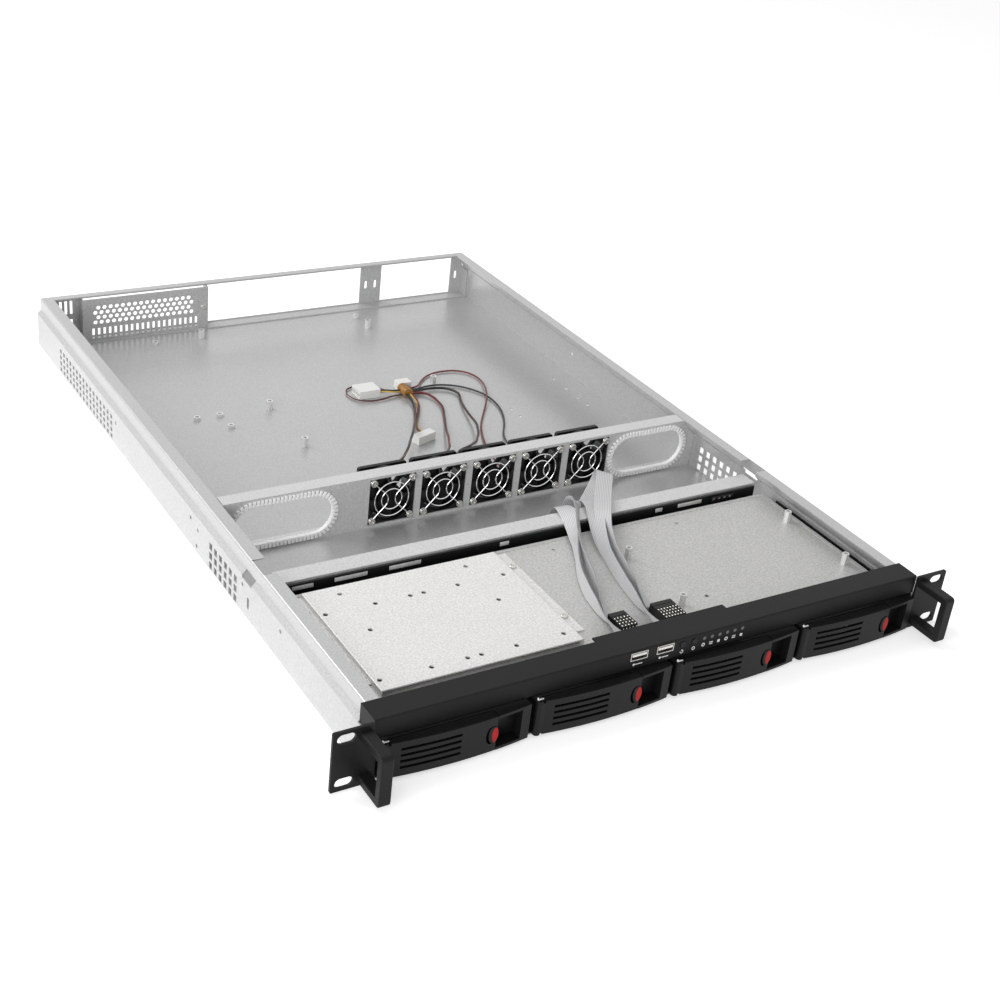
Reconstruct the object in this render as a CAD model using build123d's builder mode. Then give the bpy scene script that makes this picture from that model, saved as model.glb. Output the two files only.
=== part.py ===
from build123d import *
import math
import os

# A 1U rackmount server case with its top cover off, in millimetres.
# x runs to the right seen from the front, y runs to the rear, z runs up.
# The origin is on the underside, midway between the sides, in the plane of the rack ears' backs.

# Case body
body_width = 430.0
body_depth = 650.0
body_height = 43.6
sheet = 1.0
bend_radius = 1.5
joggle_height = 30.0
joggle_inset = 3.0
lid_flange = 10.0
fit_gap = 0.1

half_width = body_width / 2
side_inner = half_width - sheet
band_outer = half_width - joggle_inset
band_inner = band_outer - sheet
band_start = joggle_height + joggle_inset
flange_inner = band_outer - lid_flange
flange_under = body_height - sheet

# Holes in the sides
front_vent_columns = 6
front_vent_rows = 3
front_vent_pitch = (8.8, 7.6)
front_vent_hole = (5.0, 5.4)
front_vent_centre = (225.0, 12.4)
rear_vent_columns = 16
rear_vent_rows = 4
rear_vent_pitch = (8.6, 5.6)
rear_vent_hole = (4.4, 3.6)
rear_vent_centre = (520.0, 13.4)
notch_start = 166.0
notch_end = 186.0
side_window = (16.0, 6.0)
side_window_centre = (184.0, 31.0)
small_hole_radius = 1.6
side_hole_points = [(129.0, 24.0), (191.0, 23.0), (271.0, 20.0), (285.0, 23.0), (273.0, 6.0), (445.0, 21.0)]
side_slot_centre = (181.0, 13.5)
side_slot = (9.0, 3.0)

# Rack ears and handles
ear_span = 482.6
ear_height = 42.8
ear_sheet = 2.0
ear_slot_span = 465.1
ear_slot_pitch = 31.75
ear_slot = (12.0, 7.0)
ear_flange_depth = 25.0
ear_flange_height = 17.0
ear_flange_middle = 11.5
ear_edge = 214.2
ear_flange_sheet = 1.3
handle_centre = 220.0
handle_width = 8.0
handle_reach = 27.5
handle_height = 36.0
handle_bar = 5.5
handle_corner = 3.0
handle_edge = 0.8
handle_screw_depth = 3.0
ear_middle = body_height / 2

# Front cover strip
bezel_sheet = 1.2
bezel_depth = 18.5
bezel_bottom = 30.0
bezel_tab_left = -48.0
bezel_tab_right = 57.0
bezel_tab = 4.5
bezel_end_drop = 8.0
bezel_half = half_width - 1.0
usb_centres = [-26.5, -6.0]
usb_size = (13.2, 5.9)
usb_depth = 14.0
usb_wall = 0.5
usb_tongue = 1.8
usb_opening_gap = 0.2
button_radius = 2.3
button_gap = 0.15
button_travel = 0.8
button_stand = 0.7
button_collar = 0.5
button_collar_sheet = 0.9
power_x = 8.0
reset_x = 17.5
button_height = 38.8
lamp_start = 25.5
lamp_pitch = 6.3
lamp_count = 6
lamp_radius = 1.3
lamp_height = 39.2
lamp_stand = 0.3
usb_stand = 0.3

# Control board
board_sheet = 1.6
board_left = -46.0
board_right = 66.0
board_front = 3.5
board_rear = 22.0
board_lift = 4.6
switch_front = 5.6
switch_size = 6.0
ribbon_header_xs = [-22.0, 9.0]
ribbon_header = (12.0, 5.0, 4.0)

# Drive bay
bay_pitch = 106.5
bay_front = 12.0
bay_rear = 156.0
plate_half = 203.0
plate_top = 30.0
plate_front = 3.0
rail_foot = 7.0
guide_front = 30.0
plate_lip = 2.0
plate_rim = 3.0
plate_groove = 0.3
plate_notch = (7.0, 15.0)
plate_notch_centre = (-197.5, 41.0)
plate_hole_points = [(109.0, 142.0), (69.0, 52.0), (1.0, 143.0)]

# Drive trays
tray_half = 51.2
tray_bottom = 3.0
tray_top = 28.6
tray_back = 4.0
tray_face = -0.8
tray_bow_end = -5.2
tray_bow_middle = -8.8
rail_outer = 52.2
rail_inner = 50.9
rail_bottom = 2.3
rail_top = 26.0
rail_end = 148.0
rail_bar = 6.0
lever_right = 26.0
lever_gap = 0.4
lever_back = -1.6
lever_bottom = 4.4
lever_top = 27.2
lever_skin = 1.8
lever_rim = 1.6
hinge_x = -48.5
hinge_y = -3.7
barrel_radius = 2.6
lever_play = 0.1
hinge_pin_radius = 1.0
hinge_fit = 0.08
recess_right = 44.5
recess_floor = 5.0
recess_ceiling = 26.6
recess_back = 2.2
vent_count = 4
vent_pitch = 4.5
vent_height = 2.0
vent_left = -39.0
vent_right = 1.0
vent_middle = 16.2
latch_centre_x = 23.6
latch_centre_z = 15.6
latch_half = (3.4, 6.2)
latch_travel = 1.6
latch_gap = 0.3
latch_back = -3.2
latch_stand = 0.35

# Raised drive plate
drive_plate_left = -191.5
drive_plate_right = -44.5
drive_plate_front = 35.0
drive_plate_rear = 150.0
drive_plate_top = 34.4
drive_plate_flange = 9.0
drive_plate_screw_ys = [66.0, 132.5]
drive_hole_radius = 1.7
small_drive_width = 61.72
small_drive_length = 76.6
small_drive_lefts = [-187.3, -151.4, -115.6]
small_drive_front = 45.4
large_drive_left = -168.2
large_drive_width = 95.25
large_drive_front = 96.0
large_drive_pitch = 44.45

# Backplane
bracket_front = 164.0
bracket_rear = 178.5
bracket_top = 36.0
bracket_half = 200.0
backplane_sheet = 1.6
backplane_gap = 1.2
backplane_half = 198.0
backplane_bottom = 4.0
backplane_top = 34.6
backplane_windows = [(-193.0, -177.0), (-162.0, -137.0), (-121.0, -96.0), (-33.0, -25.0), (103.0, 110.0), (124.0, 147.0)]
backplane_window_low = 29.5
backplane_window_high = 33.2
socket_size = (38.0, 4.6, 5.0)
socket_height = 9.0
header_left = 155.0
header_right = 176.0

# Fan wall and fans
wall_front = 260.0
wall_flange = 12.0
fan_size = 40.0
fan_depth = 20.0
fan_pitch = 43.75
fan_count = 5
fan_first = -67.0
fan_lift = 0.3
fan_bore = 18.6
fan_blade_tip = 18.0
fan_hub = 10.0
fan_hub_wall = 1.2
fan_flange = 3.2
fan_shell = 1.2
fan_hole_pitch = 32.0
fan_hole_radius = 1.7
fan_strut = 2.0
fan_seat = 2.4
fan_seat_radius = 10.5
fan_boss_radius = 3.0
fan_boss = 8.0
shaft_radius = 1.0
shaft_fit = 0.05
blade_count = 7
blade_sheet = 1.0
blade_pitch = 38.0
blade_chord = 13.0
blade_camber = 1.6
rotor_front = 1.6
rotor_depth = 13.0
fan_window = 38.4
way_spans = [(-194.5, -114.5), (130.8, 203.0)]
way_height = 34.0
way_middle = 21.8
grommet_rim = 2.2
grommet_lip = 1.4
grommet_sheet = 1.3
grommet_tooth = 6.2
grommet_notch = 1.6
guard_wire = 1.2
guard_rings = [16.4, 9.4]
guard_sides = 20
guard_eye = 3.0
guard_arm_bend = 5.0

# Rear panel
panel_inset = sheet
panel_foot = 12.0
window_bottom = 3.0
window_top = 39.4
io_left = -60.0
io_width = 159.0
post_width = 22.5
psu_width = 78.0
post_slot = (2.6, 8.0)
post_slot_height = 21.0
corner_vent_xs = [-199.5, -194.8, -190.1, -185.4]
corner_slot_width = 2.4
corner_slot_rows = [(7.0, 21.0), (26.0, 38.5)]
riser_left = -178.0
riser_right = -61.0
riser_setback = 9.0
riser_top = 41.4
riser_bottom = 2.0
comb_count = 20
comb_pitch = 5.05
comb_first = -168.5
comb_slot = (2.4, 9.6)
comb_middle = 8.8
riser_hole_radius = 2.0
riser_hole_pitch = 5.6
riser_hole_row = 4.6
riser_hole_columns = 17
riser_hole_first = -166.5
riser_hole_bottom = 19.0
riser_recess = (-171.5, -70.0, 15.6, 36.4)
riser_recess_depth = 0.4

# Standoffs and screws
board_standoff_radius = 2.6
board_standoff_height = 9.0
board_standoff_points = [(192.0, 114.0), (192.0, 49.0), (45.0, 114.0), (45.0, 49.0)]
floor_standoff_radius = 3.0
floor_standoff_height = 8.0
floor_standoff_points = [(-75.0, 620.0), (-75.0, 466.0), (-75.0, 395.0), (82.0, 596.0), (82.0, 466.0)]
low_standoff_height = 2.6
low_standoff_points = [(-119.0, 619.0), (-139.0, 467.0), (-119.0, 467.0), (-118.0, 445.0), (82.0, 621.0)]
spacer_points = [(-41.0, 18.0), (62.0, 18.0), (-41.0, 7.5), (62.0, 7.5)]
riser_screw_points = [(-65.5, 22.0)]
floor_hole_points = [(194.0, 440.0), (194.0, 419.0), (194.0, 399.0), (194.0, 384.0), (124.0, 399.0), (124.0, 384.0)]
screw_head = 2.7
screw_head_height = 1.5
screw_radius = 1.4
screw_length = 2.6
screw_sides = 8

# Cords, and what they end in
ribbon_radius = 1.5
fan_lead_radius = 1.2
wire_radius = 0.8
power_lead_radius = 1.5
tie_span = (43.0, 53.0, 448.0, 462.0)
tie_rise = (1.3, 8.5)
power_plug_span = (5.0, 25.0, 457.0, 473.0)
drive_plug_span = (45.0, 58.0, 462.0, 471.0)
sensor_plug_centre = (21.5, 371.0)
sensor_plug_size = (20.0, 8.0)
sensor_plug_turn = 18.0
plug_rise = (1.2, 8.4)
plug_pin = 3.0
plug_corner = 0.6
header_plug_spans = [(-16.0, -3.0, 34.0, 51.0), (18.5, 35.5, 32.0, 51.0)]
header_plug_rise = (30.3, 36.5)
header_plug_groove = 0.5


def facing(y):
    """Upright plane at depth y: x to the right, z up, and its own normal towards the front."""
    return Plane.XZ.offset(-y)


def sideways(x):
    """Upright plane at x: y to the rear, z up, normal to the right."""
    return Plane.YZ.offset(x)


def back_to(depth):
    """Extrusion amount that goes depth millimetres to the rear from a facing plane."""
    return -depth


def long_edges(part, axis, picks):
    """Edges along an axis whose centre is within 0.05 of one of the wanted places."""
    def wanted(edge):
        c = edge.center()
        return any(all(v is None or abs(a - v) < 0.05 for a, v in zip((abs(c.X), c.Y, c.Z), p)) for p in picks)
    return part.edges().filter_by(axis).filter_by(wanted)


pieces = []


def keep(builder, label):
    """Label a finished piece and put it on the list that is written at the end."""
    builder.part.label = label
    pieces.append(builder.part)


# Base tray: floor and sides folded from one sheet
with BuildPart() as base_tray:
    with BuildSketch(facing(0)):
        with BuildLine():
            Polyline(
                (0, 0),
                (half_width, 0),
                (half_width, joggle_height),
                (band_outer, band_start),
                (band_outer, body_height),
                (flange_inner, body_height),
                (flange_inner, flange_under),
                (band_inner, flange_under),
                (band_inner, band_start),
                (side_inner, joggle_height),
                (side_inner, sheet),
                (0, sheet),
                close=True,
            )
        make_face()
        mirror(about=Plane.YZ)
    extrude(amount=back_to(body_depth))
    fillet(long_edges(base_tray, Axis.Y, [(half_width, None, 0), (band_outer, None, body_height)]), bend_radius)
    with BuildSketch(Plane.XY.offset(joggle_height - 0.2)):
        with Locations((0, (bezel_depth + fit_gap) / 2 - 1)):
            Rectangle(body_width + 2, bezel_depth + fit_gap + 2)
    extrude(amount=body_height, mode=Mode.SUBTRACT)
    with BuildSketch(Plane.XY.offset(band_start + 1)):
        with Locations(
            (half_width - lid_flange / 2 - joggle_inset - sheet, (notch_start + notch_end) / 2),
            (-half_width + lid_flange / 2 + joggle_inset + sheet, (notch_start + notch_end) / 2),
        ):
            Rectangle(lid_flange, notch_end - notch_start)
    extrude(amount=body_height, mode=Mode.SUBTRACT)
    with BuildSketch(sideways(-half_width - 1)):
        with Locations(front_vent_centre):
            with GridLocations(*front_vent_pitch, front_vent_columns, front_vent_rows):
                Rectangle(*front_vent_hole)
        with Locations(side_window_centre):
            Rectangle(*side_window)
        with Locations(*side_hole_points):
            RegularPolygon(small_hole_radius, 8)
        with Locations(side_slot_centre):
            SlotOverall(*side_slot, rotation=90)
    extrude(amount=body_width + 2, mode=Mode.SUBTRACT)
    with BuildSketch(sideways(-half_width - 1)):
        with Locations(rear_vent_centre):
            with GridLocations(*rear_vent_pitch, rear_vent_columns, rear_vent_rows):
                Rectangle(*rear_vent_hole)
    extrude(amount=sheet + 2, mode=Mode.SUBTRACT)
    with BuildSketch(Plane.XY.offset(-1)):
        with Locations(*floor_hole_points):
            RegularPolygon(small_hole_radius, 8)
    extrude(amount=sheet + 2, mode=Mode.SUBTRACT)
keep(base_tray, "base_tray")

# Rear panel: one sheet with windows, a top strip, a foot and two side flanges
panel_front = body_depth - sheet
panel_low = side_inner - fit_gap
panel_high = band_inner - fit_gap
strip_half = flange_inner - fit_gap
post_left = io_left + io_width
psu_left = post_left + post_width
with BuildPart() as rear_panel:
    with BuildSketch(facing(panel_front)):
        with BuildLine():
            Polyline(
                (0, sheet),
                (panel_low, sheet),
                (panel_low, joggle_height - sheet),
                (panel_high, band_start),
                (panel_high, flange_under - fit_gap),
                (strip_half, flange_under - fit_gap),
                (strip_half, body_height),
                (0, body_height),
                close=True,
            )
        make_face()
        mirror(about=Plane.YZ)
        for left, width in ((io_left, io_width), (psu_left, psu_width)):
            with Locations((left + width / 2, (window_bottom + window_top) / 2)):
                Rectangle(width, window_top - window_bottom, mode=Mode.SUBTRACT)
        with Locations(((riser_left + riser_right) / 2, (window_bottom + window_top) / 2)):
            Rectangle(riser_right - riser_left - 2 * sheet, window_top - window_bottom, mode=Mode.SUBTRACT)
        for low, high in corner_slot_rows:
            with Locations(*[(x, (low + high) / 2) for x in corner_vent_xs]):
                Rectangle(corner_slot_width, high - low, mode=Mode.SUBTRACT)
        with Locations(
            (post_left + post_width / 2 - 5, post_slot_height),
            (post_left + post_width / 2 + 5, post_slot_height),
            (psu_left + psu_width + 6, post_slot_height),
        ):
            SlotOverall(post_slot[1], post_slot[0], rotation=90, mode=Mode.SUBTRACT)
    extrude(amount=back_to(sheet))
    with BuildSketch(facing(panel_front - panel_foot)):
        with Locations((0, 1.5 * sheet)):
            Rectangle(2 * panel_low, sheet)
    extrude(amount=back_to(panel_foot))
    with BuildSketch(facing(panel_front - panel_foot / 2)):
        with Locations((0, body_height - sheet / 2)):
            Rectangle(2 * strip_half, sheet)
    extrude(amount=back_to(panel_foot / 2))
    with BuildSketch(facing(panel_front - panel_foot + 2)):
        with Locations((panel_low - sheet / 2, joggle_height / 2), (-panel_low + sheet / 2, joggle_height / 2)):
            Rectangle(sheet, joggle_height - 4 * sheet)
    extrude(amount=back_to(panel_foot - 2))
keep(rear_panel, "rear_panel")

# Riser slot panel, set in from the rear panel on two folded returns
riser_front = panel_front - riser_setback
with BuildPart() as riser_panel:
    with BuildSketch(facing(riser_front)):
        with Locations(((riser_left + riser_right) / 2, (riser_bottom + riser_top) / 2)):
            Rectangle(riser_right - riser_left, riser_top - riser_bottom)
        with Locations(*[(comb_first + comb_pitch * i, comb_middle) for i in range(comb_count)]):
            Rectangle(*comb_slot, mode=Mode.SUBTRACT)
        for row in range(4):
            shift = riser_hole_pitch / 2 if row % 2 else 0
            z = riser_hole_bottom + riser_hole_row * row
            holes = riser_hole_columns - row % 2
            with Locations(*[(riser_hole_first + shift + riser_hole_pitch * i, z) for i in range(holes)]):
                RegularPolygon(riser_hole_radius, 6, mode=Mode.SUBTRACT)
        with Locations(*riser_screw_points):
            RegularPolygon(small_hole_radius, 8, mode=Mode.SUBTRACT)
    extrude(amount=back_to(sheet))
    with BuildSketch(facing(riser_front)):
        for x in (riser_left + sheet / 2, riser_right - sheet / 2):
            with Locations((x, (riser_bottom + riser_top) / 2)):
                Rectangle(sheet, riser_top - riser_bottom)
    extrude(amount=back_to(riser_setback))
    with BuildSketch(facing(riser_front)):
        with Locations(((riser_recess[0] + riser_recess[1]) / 2, (riser_recess[2] + riser_recess[3]) / 2)):
            Rectangle(riser_recess[1] - riser_recess[0], riser_recess[3] - riser_recess[2])
    extrude(amount=back_to(riser_recess_depth), mode=Mode.SUBTRACT)
keep(riser_panel, "riser_panel")

# Fan wall with five fan windows and two oval cable ways
fan_xs = [fan_first + fan_pitch * i for i in range(fan_count)]
fan_floor = 2 * sheet + fan_lift
fan_middle = fan_floor + fan_size / 2
fan_front = wall_front + sheet
ways = [((left + right) / 2, right - left) for left, right in way_spans]
with BuildPart() as fan_wall:
    with BuildSketch(facing(wall_front)):
        with BuildLine():
            Polyline(
                (0, sheet),
                (panel_low, sheet),
                (panel_low, joggle_height - sheet),
                (flange_inner - sheet, body_height - 2 * sheet),
                (flange_inner - sheet, body_height),
                (0, body_height),
                close=True,
            )
        make_face()
        mirror(about=Plane.YZ)
        with Locations(*[(x, fan_middle) for x in fan_xs]):
            Rectangle(fan_window, fan_window, mode=Mode.SUBTRACT)
        for middle, width in ways:
            with Locations((middle, way_middle)):
                SlotOverall(width, way_height, mode=Mode.SUBTRACT)
    extrude(amount=back_to(sheet))
    with BuildSketch(facing(wall_front)):
        with Locations((0, body_height - sheet / 2)):
            Rectangle(2 * (flange_inner - sheet), sheet)
        with Locations((0, 1.5 * sheet)):
            Rectangle(2 * panel_low, sheet)
        with Locations((panel_low - sheet / 2, joggle_height / 2), (-panel_low + sheet / 2, joggle_height / 2)):
            Rectangle(sheet, joggle_height - 4 * sheet)
    extrude(amount=back_to(wall_flange))
keep(fan_wall, "fan_wall")

# Edge grommets: a channel of plastic around each oval way, with a notched rim
with BuildPart() as cable_grommets:
    with BuildSketch(facing(wall_front - grommet_sheet)):
        for middle, width in ways:
            with Locations((middle, way_middle)):
                SlotOverall(width + 2 * grommet_rim, way_height + 2 * grommet_rim)
                SlotOverall(width - 2 * grommet_lip, way_height - 2 * grommet_lip, mode=Mode.SUBTRACT)
    extrude(amount=back_to(sheet + 2 * grommet_sheet))
    with BuildSketch(facing(wall_front)):
        for middle, width in ways:
            with Locations((middle, way_middle)):
                SlotOverall(width + 2 * grommet_rim + 2, way_height + 2 * grommet_rim + 2)
                SlotOverall(width, way_height, mode=Mode.SUBTRACT)
    extrude(amount=back_to(sheet), mode=Mode.SUBTRACT)
    with BuildSketch(facing(wall_front - grommet_sheet)):
        notch_reach = way_height / 2 + grommet_rim
        for middle, width in ways:
            straight = width - way_height
            steps = math.floor(straight / grommet_tooth)
            with Locations((middle, way_middle + notch_reach), (middle, way_middle - notch_reach)):
                with GridLocations(straight / steps, 1, steps + 1, 1):
                    Rectangle(grommet_notch, grommet_rim)
            for side, start in ((1, -90), (-1, 90)):
                with Locations((middle + side * straight / 2, way_middle)):
                    with PolarLocations(notch_reach, 8, start + 180 / 9, 180 - 360 / 9, endpoint=True):
                        Rectangle(grommet_rim, grommet_notch)
    extrude(amount=back_to(sheet + 2 * grommet_sheet), mode=Mode.SUBTRACT)
keep(cable_grommets, "cable_grommets")

# Fans
fan_back = fan_front + fan_depth
for number, fan_x in enumerate(fan_xs, 1):
    seat_front = fan_back - fan_seat
    with BuildPart() as fan_frame:
        with BuildSketch(facing(fan_front)):
            with Locations((fan_x, fan_middle)):
                RectangleRounded(fan_size, fan_size, 2.0)
                Circle(fan_bore, mode=Mode.SUBTRACT)
                with GridLocations(fan_hole_pitch, fan_hole_pitch, 2, 2):
                    Circle(fan_hole_radius, mode=Mode.SUBTRACT)
        extrude(amount=back_to(fan_depth))
        with BuildSketch(facing(fan_front + fan_flange)):
            with Locations((fan_x, fan_middle)):
                Rectangle(fan_size + 2, fan_size + 2)
                Circle(fan_bore + fan_shell, mode=Mode.SUBTRACT)
        extrude(amount=back_to(fan_depth - 2 * fan_flange), mode=Mode.SUBTRACT)
        with BuildSketch(facing(seat_front)):
            with Locations((fan_x, fan_middle)):
                Circle(fan_seat_radius)
                with PolarLocations((fan_bore + fan_seat_radius) / 2, 4, 45):
                    Rectangle(fan_bore - fan_seat_radius + 1.5, fan_strut)
        extrude(amount=back_to(fan_seat))
        with BuildSketch(facing(seat_front - fan_boss)):
            with Locations((fan_x, fan_middle)):
                Circle(fan_boss_radius)
        extrude(amount=back_to(fan_boss))
        with BuildSketch(facing(seat_front - fan_boss)):
            with Locations((fan_x, fan_middle)):
                Circle(shaft_radius + shaft_fit)
        extrude(amount=back_to(fan_boss + fan_seat / 2), mode=Mode.SUBTRACT)
    keep(fan_frame, f"fan_frame_{number}")

    cup_front = fan_front + rotor_front
    blade_middle = cup_front + rotor_depth / 2
    with BuildPart() as fan_rotor:
        for turn in range(blade_count):
            angle = math.radians(360 / blade_count * turn)
            out = Vector(math.cos(angle), 0, math.sin(angle))
            across = Vector(-math.sin(angle), 0, math.cos(angle)).rotate(Axis((0, 0, 0), tuple(out)), blade_pitch)
            root = Vector(fan_x, blade_middle, fan_middle) + out * (fan_hub - 0.6)
            with BuildSketch(Plane(root, x_dir=across, z_dir=out)):
                with BuildLine():
                    start = (-blade_chord / 2, 0)
                    end = (blade_chord / 2, 0)
                    ThreePointArc(start, (0, blade_camber), end)
                    Line(end, (end[0], -blade_sheet))
                    ThreePointArc((end[0], -blade_sheet), (0, blade_camber - blade_sheet), (start[0], -blade_sheet))
                    Line((start[0], -blade_sheet), start)
                make_face()
            extrude(amount=fan_blade_tip - fan_hub + 2)
        with BuildSketch(facing(cup_front)):
            with Locations((fan_x, fan_middle)):
                Circle(fan_blade_tip)
        extrude(amount=back_to(rotor_depth), mode=Mode.INTERSECT)
        with BuildSketch(facing(cup_front)):
            with Locations((fan_x, fan_middle)):
                Circle(fan_hub)
        extrude(amount=back_to(rotor_depth))
        with BuildSketch(facing(cup_front + fan_hub_wall)):
            with Locations((fan_x, fan_middle)):
                Circle(fan_hub - fan_hub_wall)
        extrude(amount=back_to(rotor_depth), mode=Mode.SUBTRACT)
        with BuildSketch(facing(cup_front)):
            with Locations((fan_x, fan_middle)):
                Circle(shaft_radius)
        extrude(amount=back_to(fan_depth - rotor_front - fan_seat))
    keep(fan_rotor, f"fan_rotor_{number}")

# Wire guards, screwed on the front of each fan
with BuildPart() as fan_guards:
    with BuildSketch(facing(fan_front - guard_wire)):
        for x in fan_xs:
            with Locations((x, fan_middle)):
                for radius in guard_rings:
                    RegularPolygon(radius + guard_wire / 2, guard_sides)
                    RegularPolygon(radius - guard_wire / 2, guard_sides, mode=Mode.SUBTRACT)
        for x in fan_xs:
            for side in (-1, 1):
                corner = fan_hole_pitch / 2
                bend = guard_arm_bend
                with BuildLine() as arm:
                    Line((x + side * corner, fan_middle + corner), (x + side * bend, fan_middle + bend))
                    TangentArc(
                        (x + side * bend, fan_middle + bend), (x + side * bend, fan_middle - bend), tangent=(-side, -1)
                    )
                    Line((x + side * bend, fan_middle - bend), (x + side * corner, fan_middle - corner))
                trace(line_width=guard_wire)
        for x in fan_xs:
            with Locations((x, fan_middle)):
                with GridLocations(fan_hole_pitch, fan_hole_pitch, 2, 2):
                    RegularPolygon(guard_eye, 12)
                    RegularPolygon(fan_hole_radius, 12, mode=Mode.SUBTRACT)
    extrude(amount=back_to(guard_wire))
keep(fan_guards, "fan_guards")

# Backplane: bracket with a top flange, the board in front of it and its sockets
backplane_front = bracket_front - backplane_gap - backplane_sheet
bay_xs = [bay_pitch * (i - 1.5) for i in range(4)]
with BuildPart() as backplane_bracket:
    with BuildSketch(sideways(-bracket_half)):
        with BuildLine():
            Polyline(
                (bracket_front, sheet),
                (bracket_rear, sheet),
                (bracket_rear, 2 * sheet),
                (bracket_front + sheet, 2 * sheet),
                (bracket_front + sheet, bracket_top - sheet),
                (bracket_rear, bracket_top - sheet),
                (bracket_rear, bracket_top),
                (bracket_front, bracket_top),
                close=True,
            )
        make_face()
    extrude(amount=2 * bracket_half)
    fillet(long_edges(backplane_bracket, Axis.X, [(0, bracket_front, bracket_top)]), sheet / 2)
    with BuildSketch(facing(bracket_front)):
        for x in bay_xs:
            with Locations((x, bracket_top / 2 - 3)):
                Rectangle(bay_pitch * 0.7, bracket_top / 2, mode=Mode.ADD)
    extrude(amount=back_to(sheet), mode=Mode.SUBTRACT)
keep(backplane_bracket, "backplane_bracket")

with BuildPart() as backplane_board:
    with BuildSketch(facing(backplane_front)):
        with Locations((0, (backplane_bottom + backplane_top) / 2)):
            Rectangle(2 * backplane_half, backplane_top - backplane_bottom)
        window_middle = (backplane_window_low + backplane_window_high) / 2
        for left, right in backplane_windows:
            with Locations(((left + right) / 2, window_middle)):
                Rectangle(right - left, backplane_window_high - backplane_window_low, mode=Mode.SUBTRACT)
        for x in bay_xs:
            with Locations((x + bay_pitch / 4, backplane_top / 2)):
                Rectangle(bay_pitch / 4, backplane_top / 3, mode=Mode.SUBTRACT)
    extrude(amount=back_to(backplane_sheet))
    with BuildSketch(facing(backplane_front + backplane_sheet)):
        with Locations(*[(x, backplane_bottom + 3) for x in (-backplane_half + 8, 0, backplane_half - 8)]):
            RegularPolygon(2.5, 6)
    extrude(amount=back_to(backplane_gap))
keep(backplane_board, "backplane_board")

with BuildPart() as backplane_sockets:
    with BuildSketch(facing(backplane_front - socket_size[1])):
        with Locations(*[(x - bay_pitch / 6, socket_height) for x in bay_xs]):
            Rectangle(socket_size[0], socket_size[2])
            Rectangle(socket_size[0] - 2, socket_size[2] - 2, mode=Mode.SUBTRACT)
        with Locations(*[(x - bay_pitch / 6, socket_height) for x in bay_xs]):
            Rectangle(socket_size[0] - 1, 1.2)
    extrude(amount=back_to(socket_size[1]))
    with BuildSketch(facing(backplane_front - socket_size[1] / 2)):
        with Locations(((header_left + header_right) / 2, (backplane_window_low + backplane_window_high) / 2)):
            Rectangle(header_right - header_left, backplane_window_high - backplane_window_low)
    extrude(amount=back_to(socket_size[1] / 2))
    with BuildSketch(facing(backplane_front - socket_size[1] / 2)):
        with Locations(((header_left + header_right) / 2, (backplane_window_low + backplane_window_high) / 2)):
            with GridLocations((header_right - header_left) / 4, 1, 4, 1):
                Rectangle((header_right - header_left) / 4 - 1, backplane_window_high - backplane_window_low - 1)
    extrude(amount=back_to(socket_size[1] / 4), mode=Mode.SUBTRACT)
keep(backplane_sockets, "backplane_sockets")

# Drive bay: plate on top, dividers and side guides under it
plate_under = plate_top - sheet
divider_rear = bay_rear - sheet - fit_gap
rear_lip_low = plate_under - plate_lip
with BuildPart() as bay_dividers:
    with BuildSketch(facing(bay_front)):
        for x in [bay_pitch * i for i in (-1, 0, 1)]:
            with Locations((x, (sheet + plate_under) / 2)):
                Rectangle(sheet, plate_under - sheet)
            with Locations((x, 1.5 * sheet), (x, plate_under - sheet / 2)):
                Rectangle(2 * rail_foot, sheet)
    extrude(amount=back_to(divider_rear - bay_front))
    with BuildSketch(facing(guide_front)):
        for side in (-1, 1):
            with Locations((side * (panel_low - sheet / 2), plate_under / 2)):
                Rectangle(sheet, plate_under - 2 * sheet)
            with Locations((side * (panel_low - rail_foot / 2), 1.5 * sheet)):
                Rectangle(rail_foot, sheet)
    extrude(amount=back_to(divider_rear - guide_front))
keep(bay_dividers, "bay_dividers")

drive_plate_screws = [
    (x, y)
    for x in (drive_plate_left - drive_plate_flange / 2, drive_plate_right + drive_plate_flange / 2)
    for y in drive_plate_screw_ys
]
with BuildPart() as bay_plate:
    with BuildSketch(Plane.XY.offset(plate_under)):
        with Locations((0, (plate_front + bay_rear) / 2)):
            Rectangle(2 * plate_half, bay_rear - plate_front)
        with Locations(plate_notch_centre):
            Rectangle(*plate_notch, mode=Mode.SUBTRACT)
        with Locations(*drive_plate_screws, *plate_hole_points):
            RegularPolygon(small_hole_radius, 8, mode=Mode.SUBTRACT)
    extrude(amount=sheet)
    with BuildSketch(facing(bay_rear - sheet)):
        with Locations((0, (rear_lip_low + plate_under) / 2)):
            Rectangle(2 * plate_half, plate_lip)
    extrude(amount=back_to(sheet))
    with BuildSketch(Plane.XY.offset(plate_top - plate_groove)):
        with Locations((0, (plate_front + bay_rear) / 2)):
            Rectangle(2 * plate_half - 2 * plate_rim, bay_rear - plate_front - 2 * plate_rim)
            Rectangle(2 * plate_half - 3 * plate_rim, bay_rear - plate_front - 3 * plate_rim, mode=Mode.SUBTRACT)
    extrude(amount=sheet, mode=Mode.SUBTRACT)
keep(bay_plate, "bay_plate")

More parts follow.
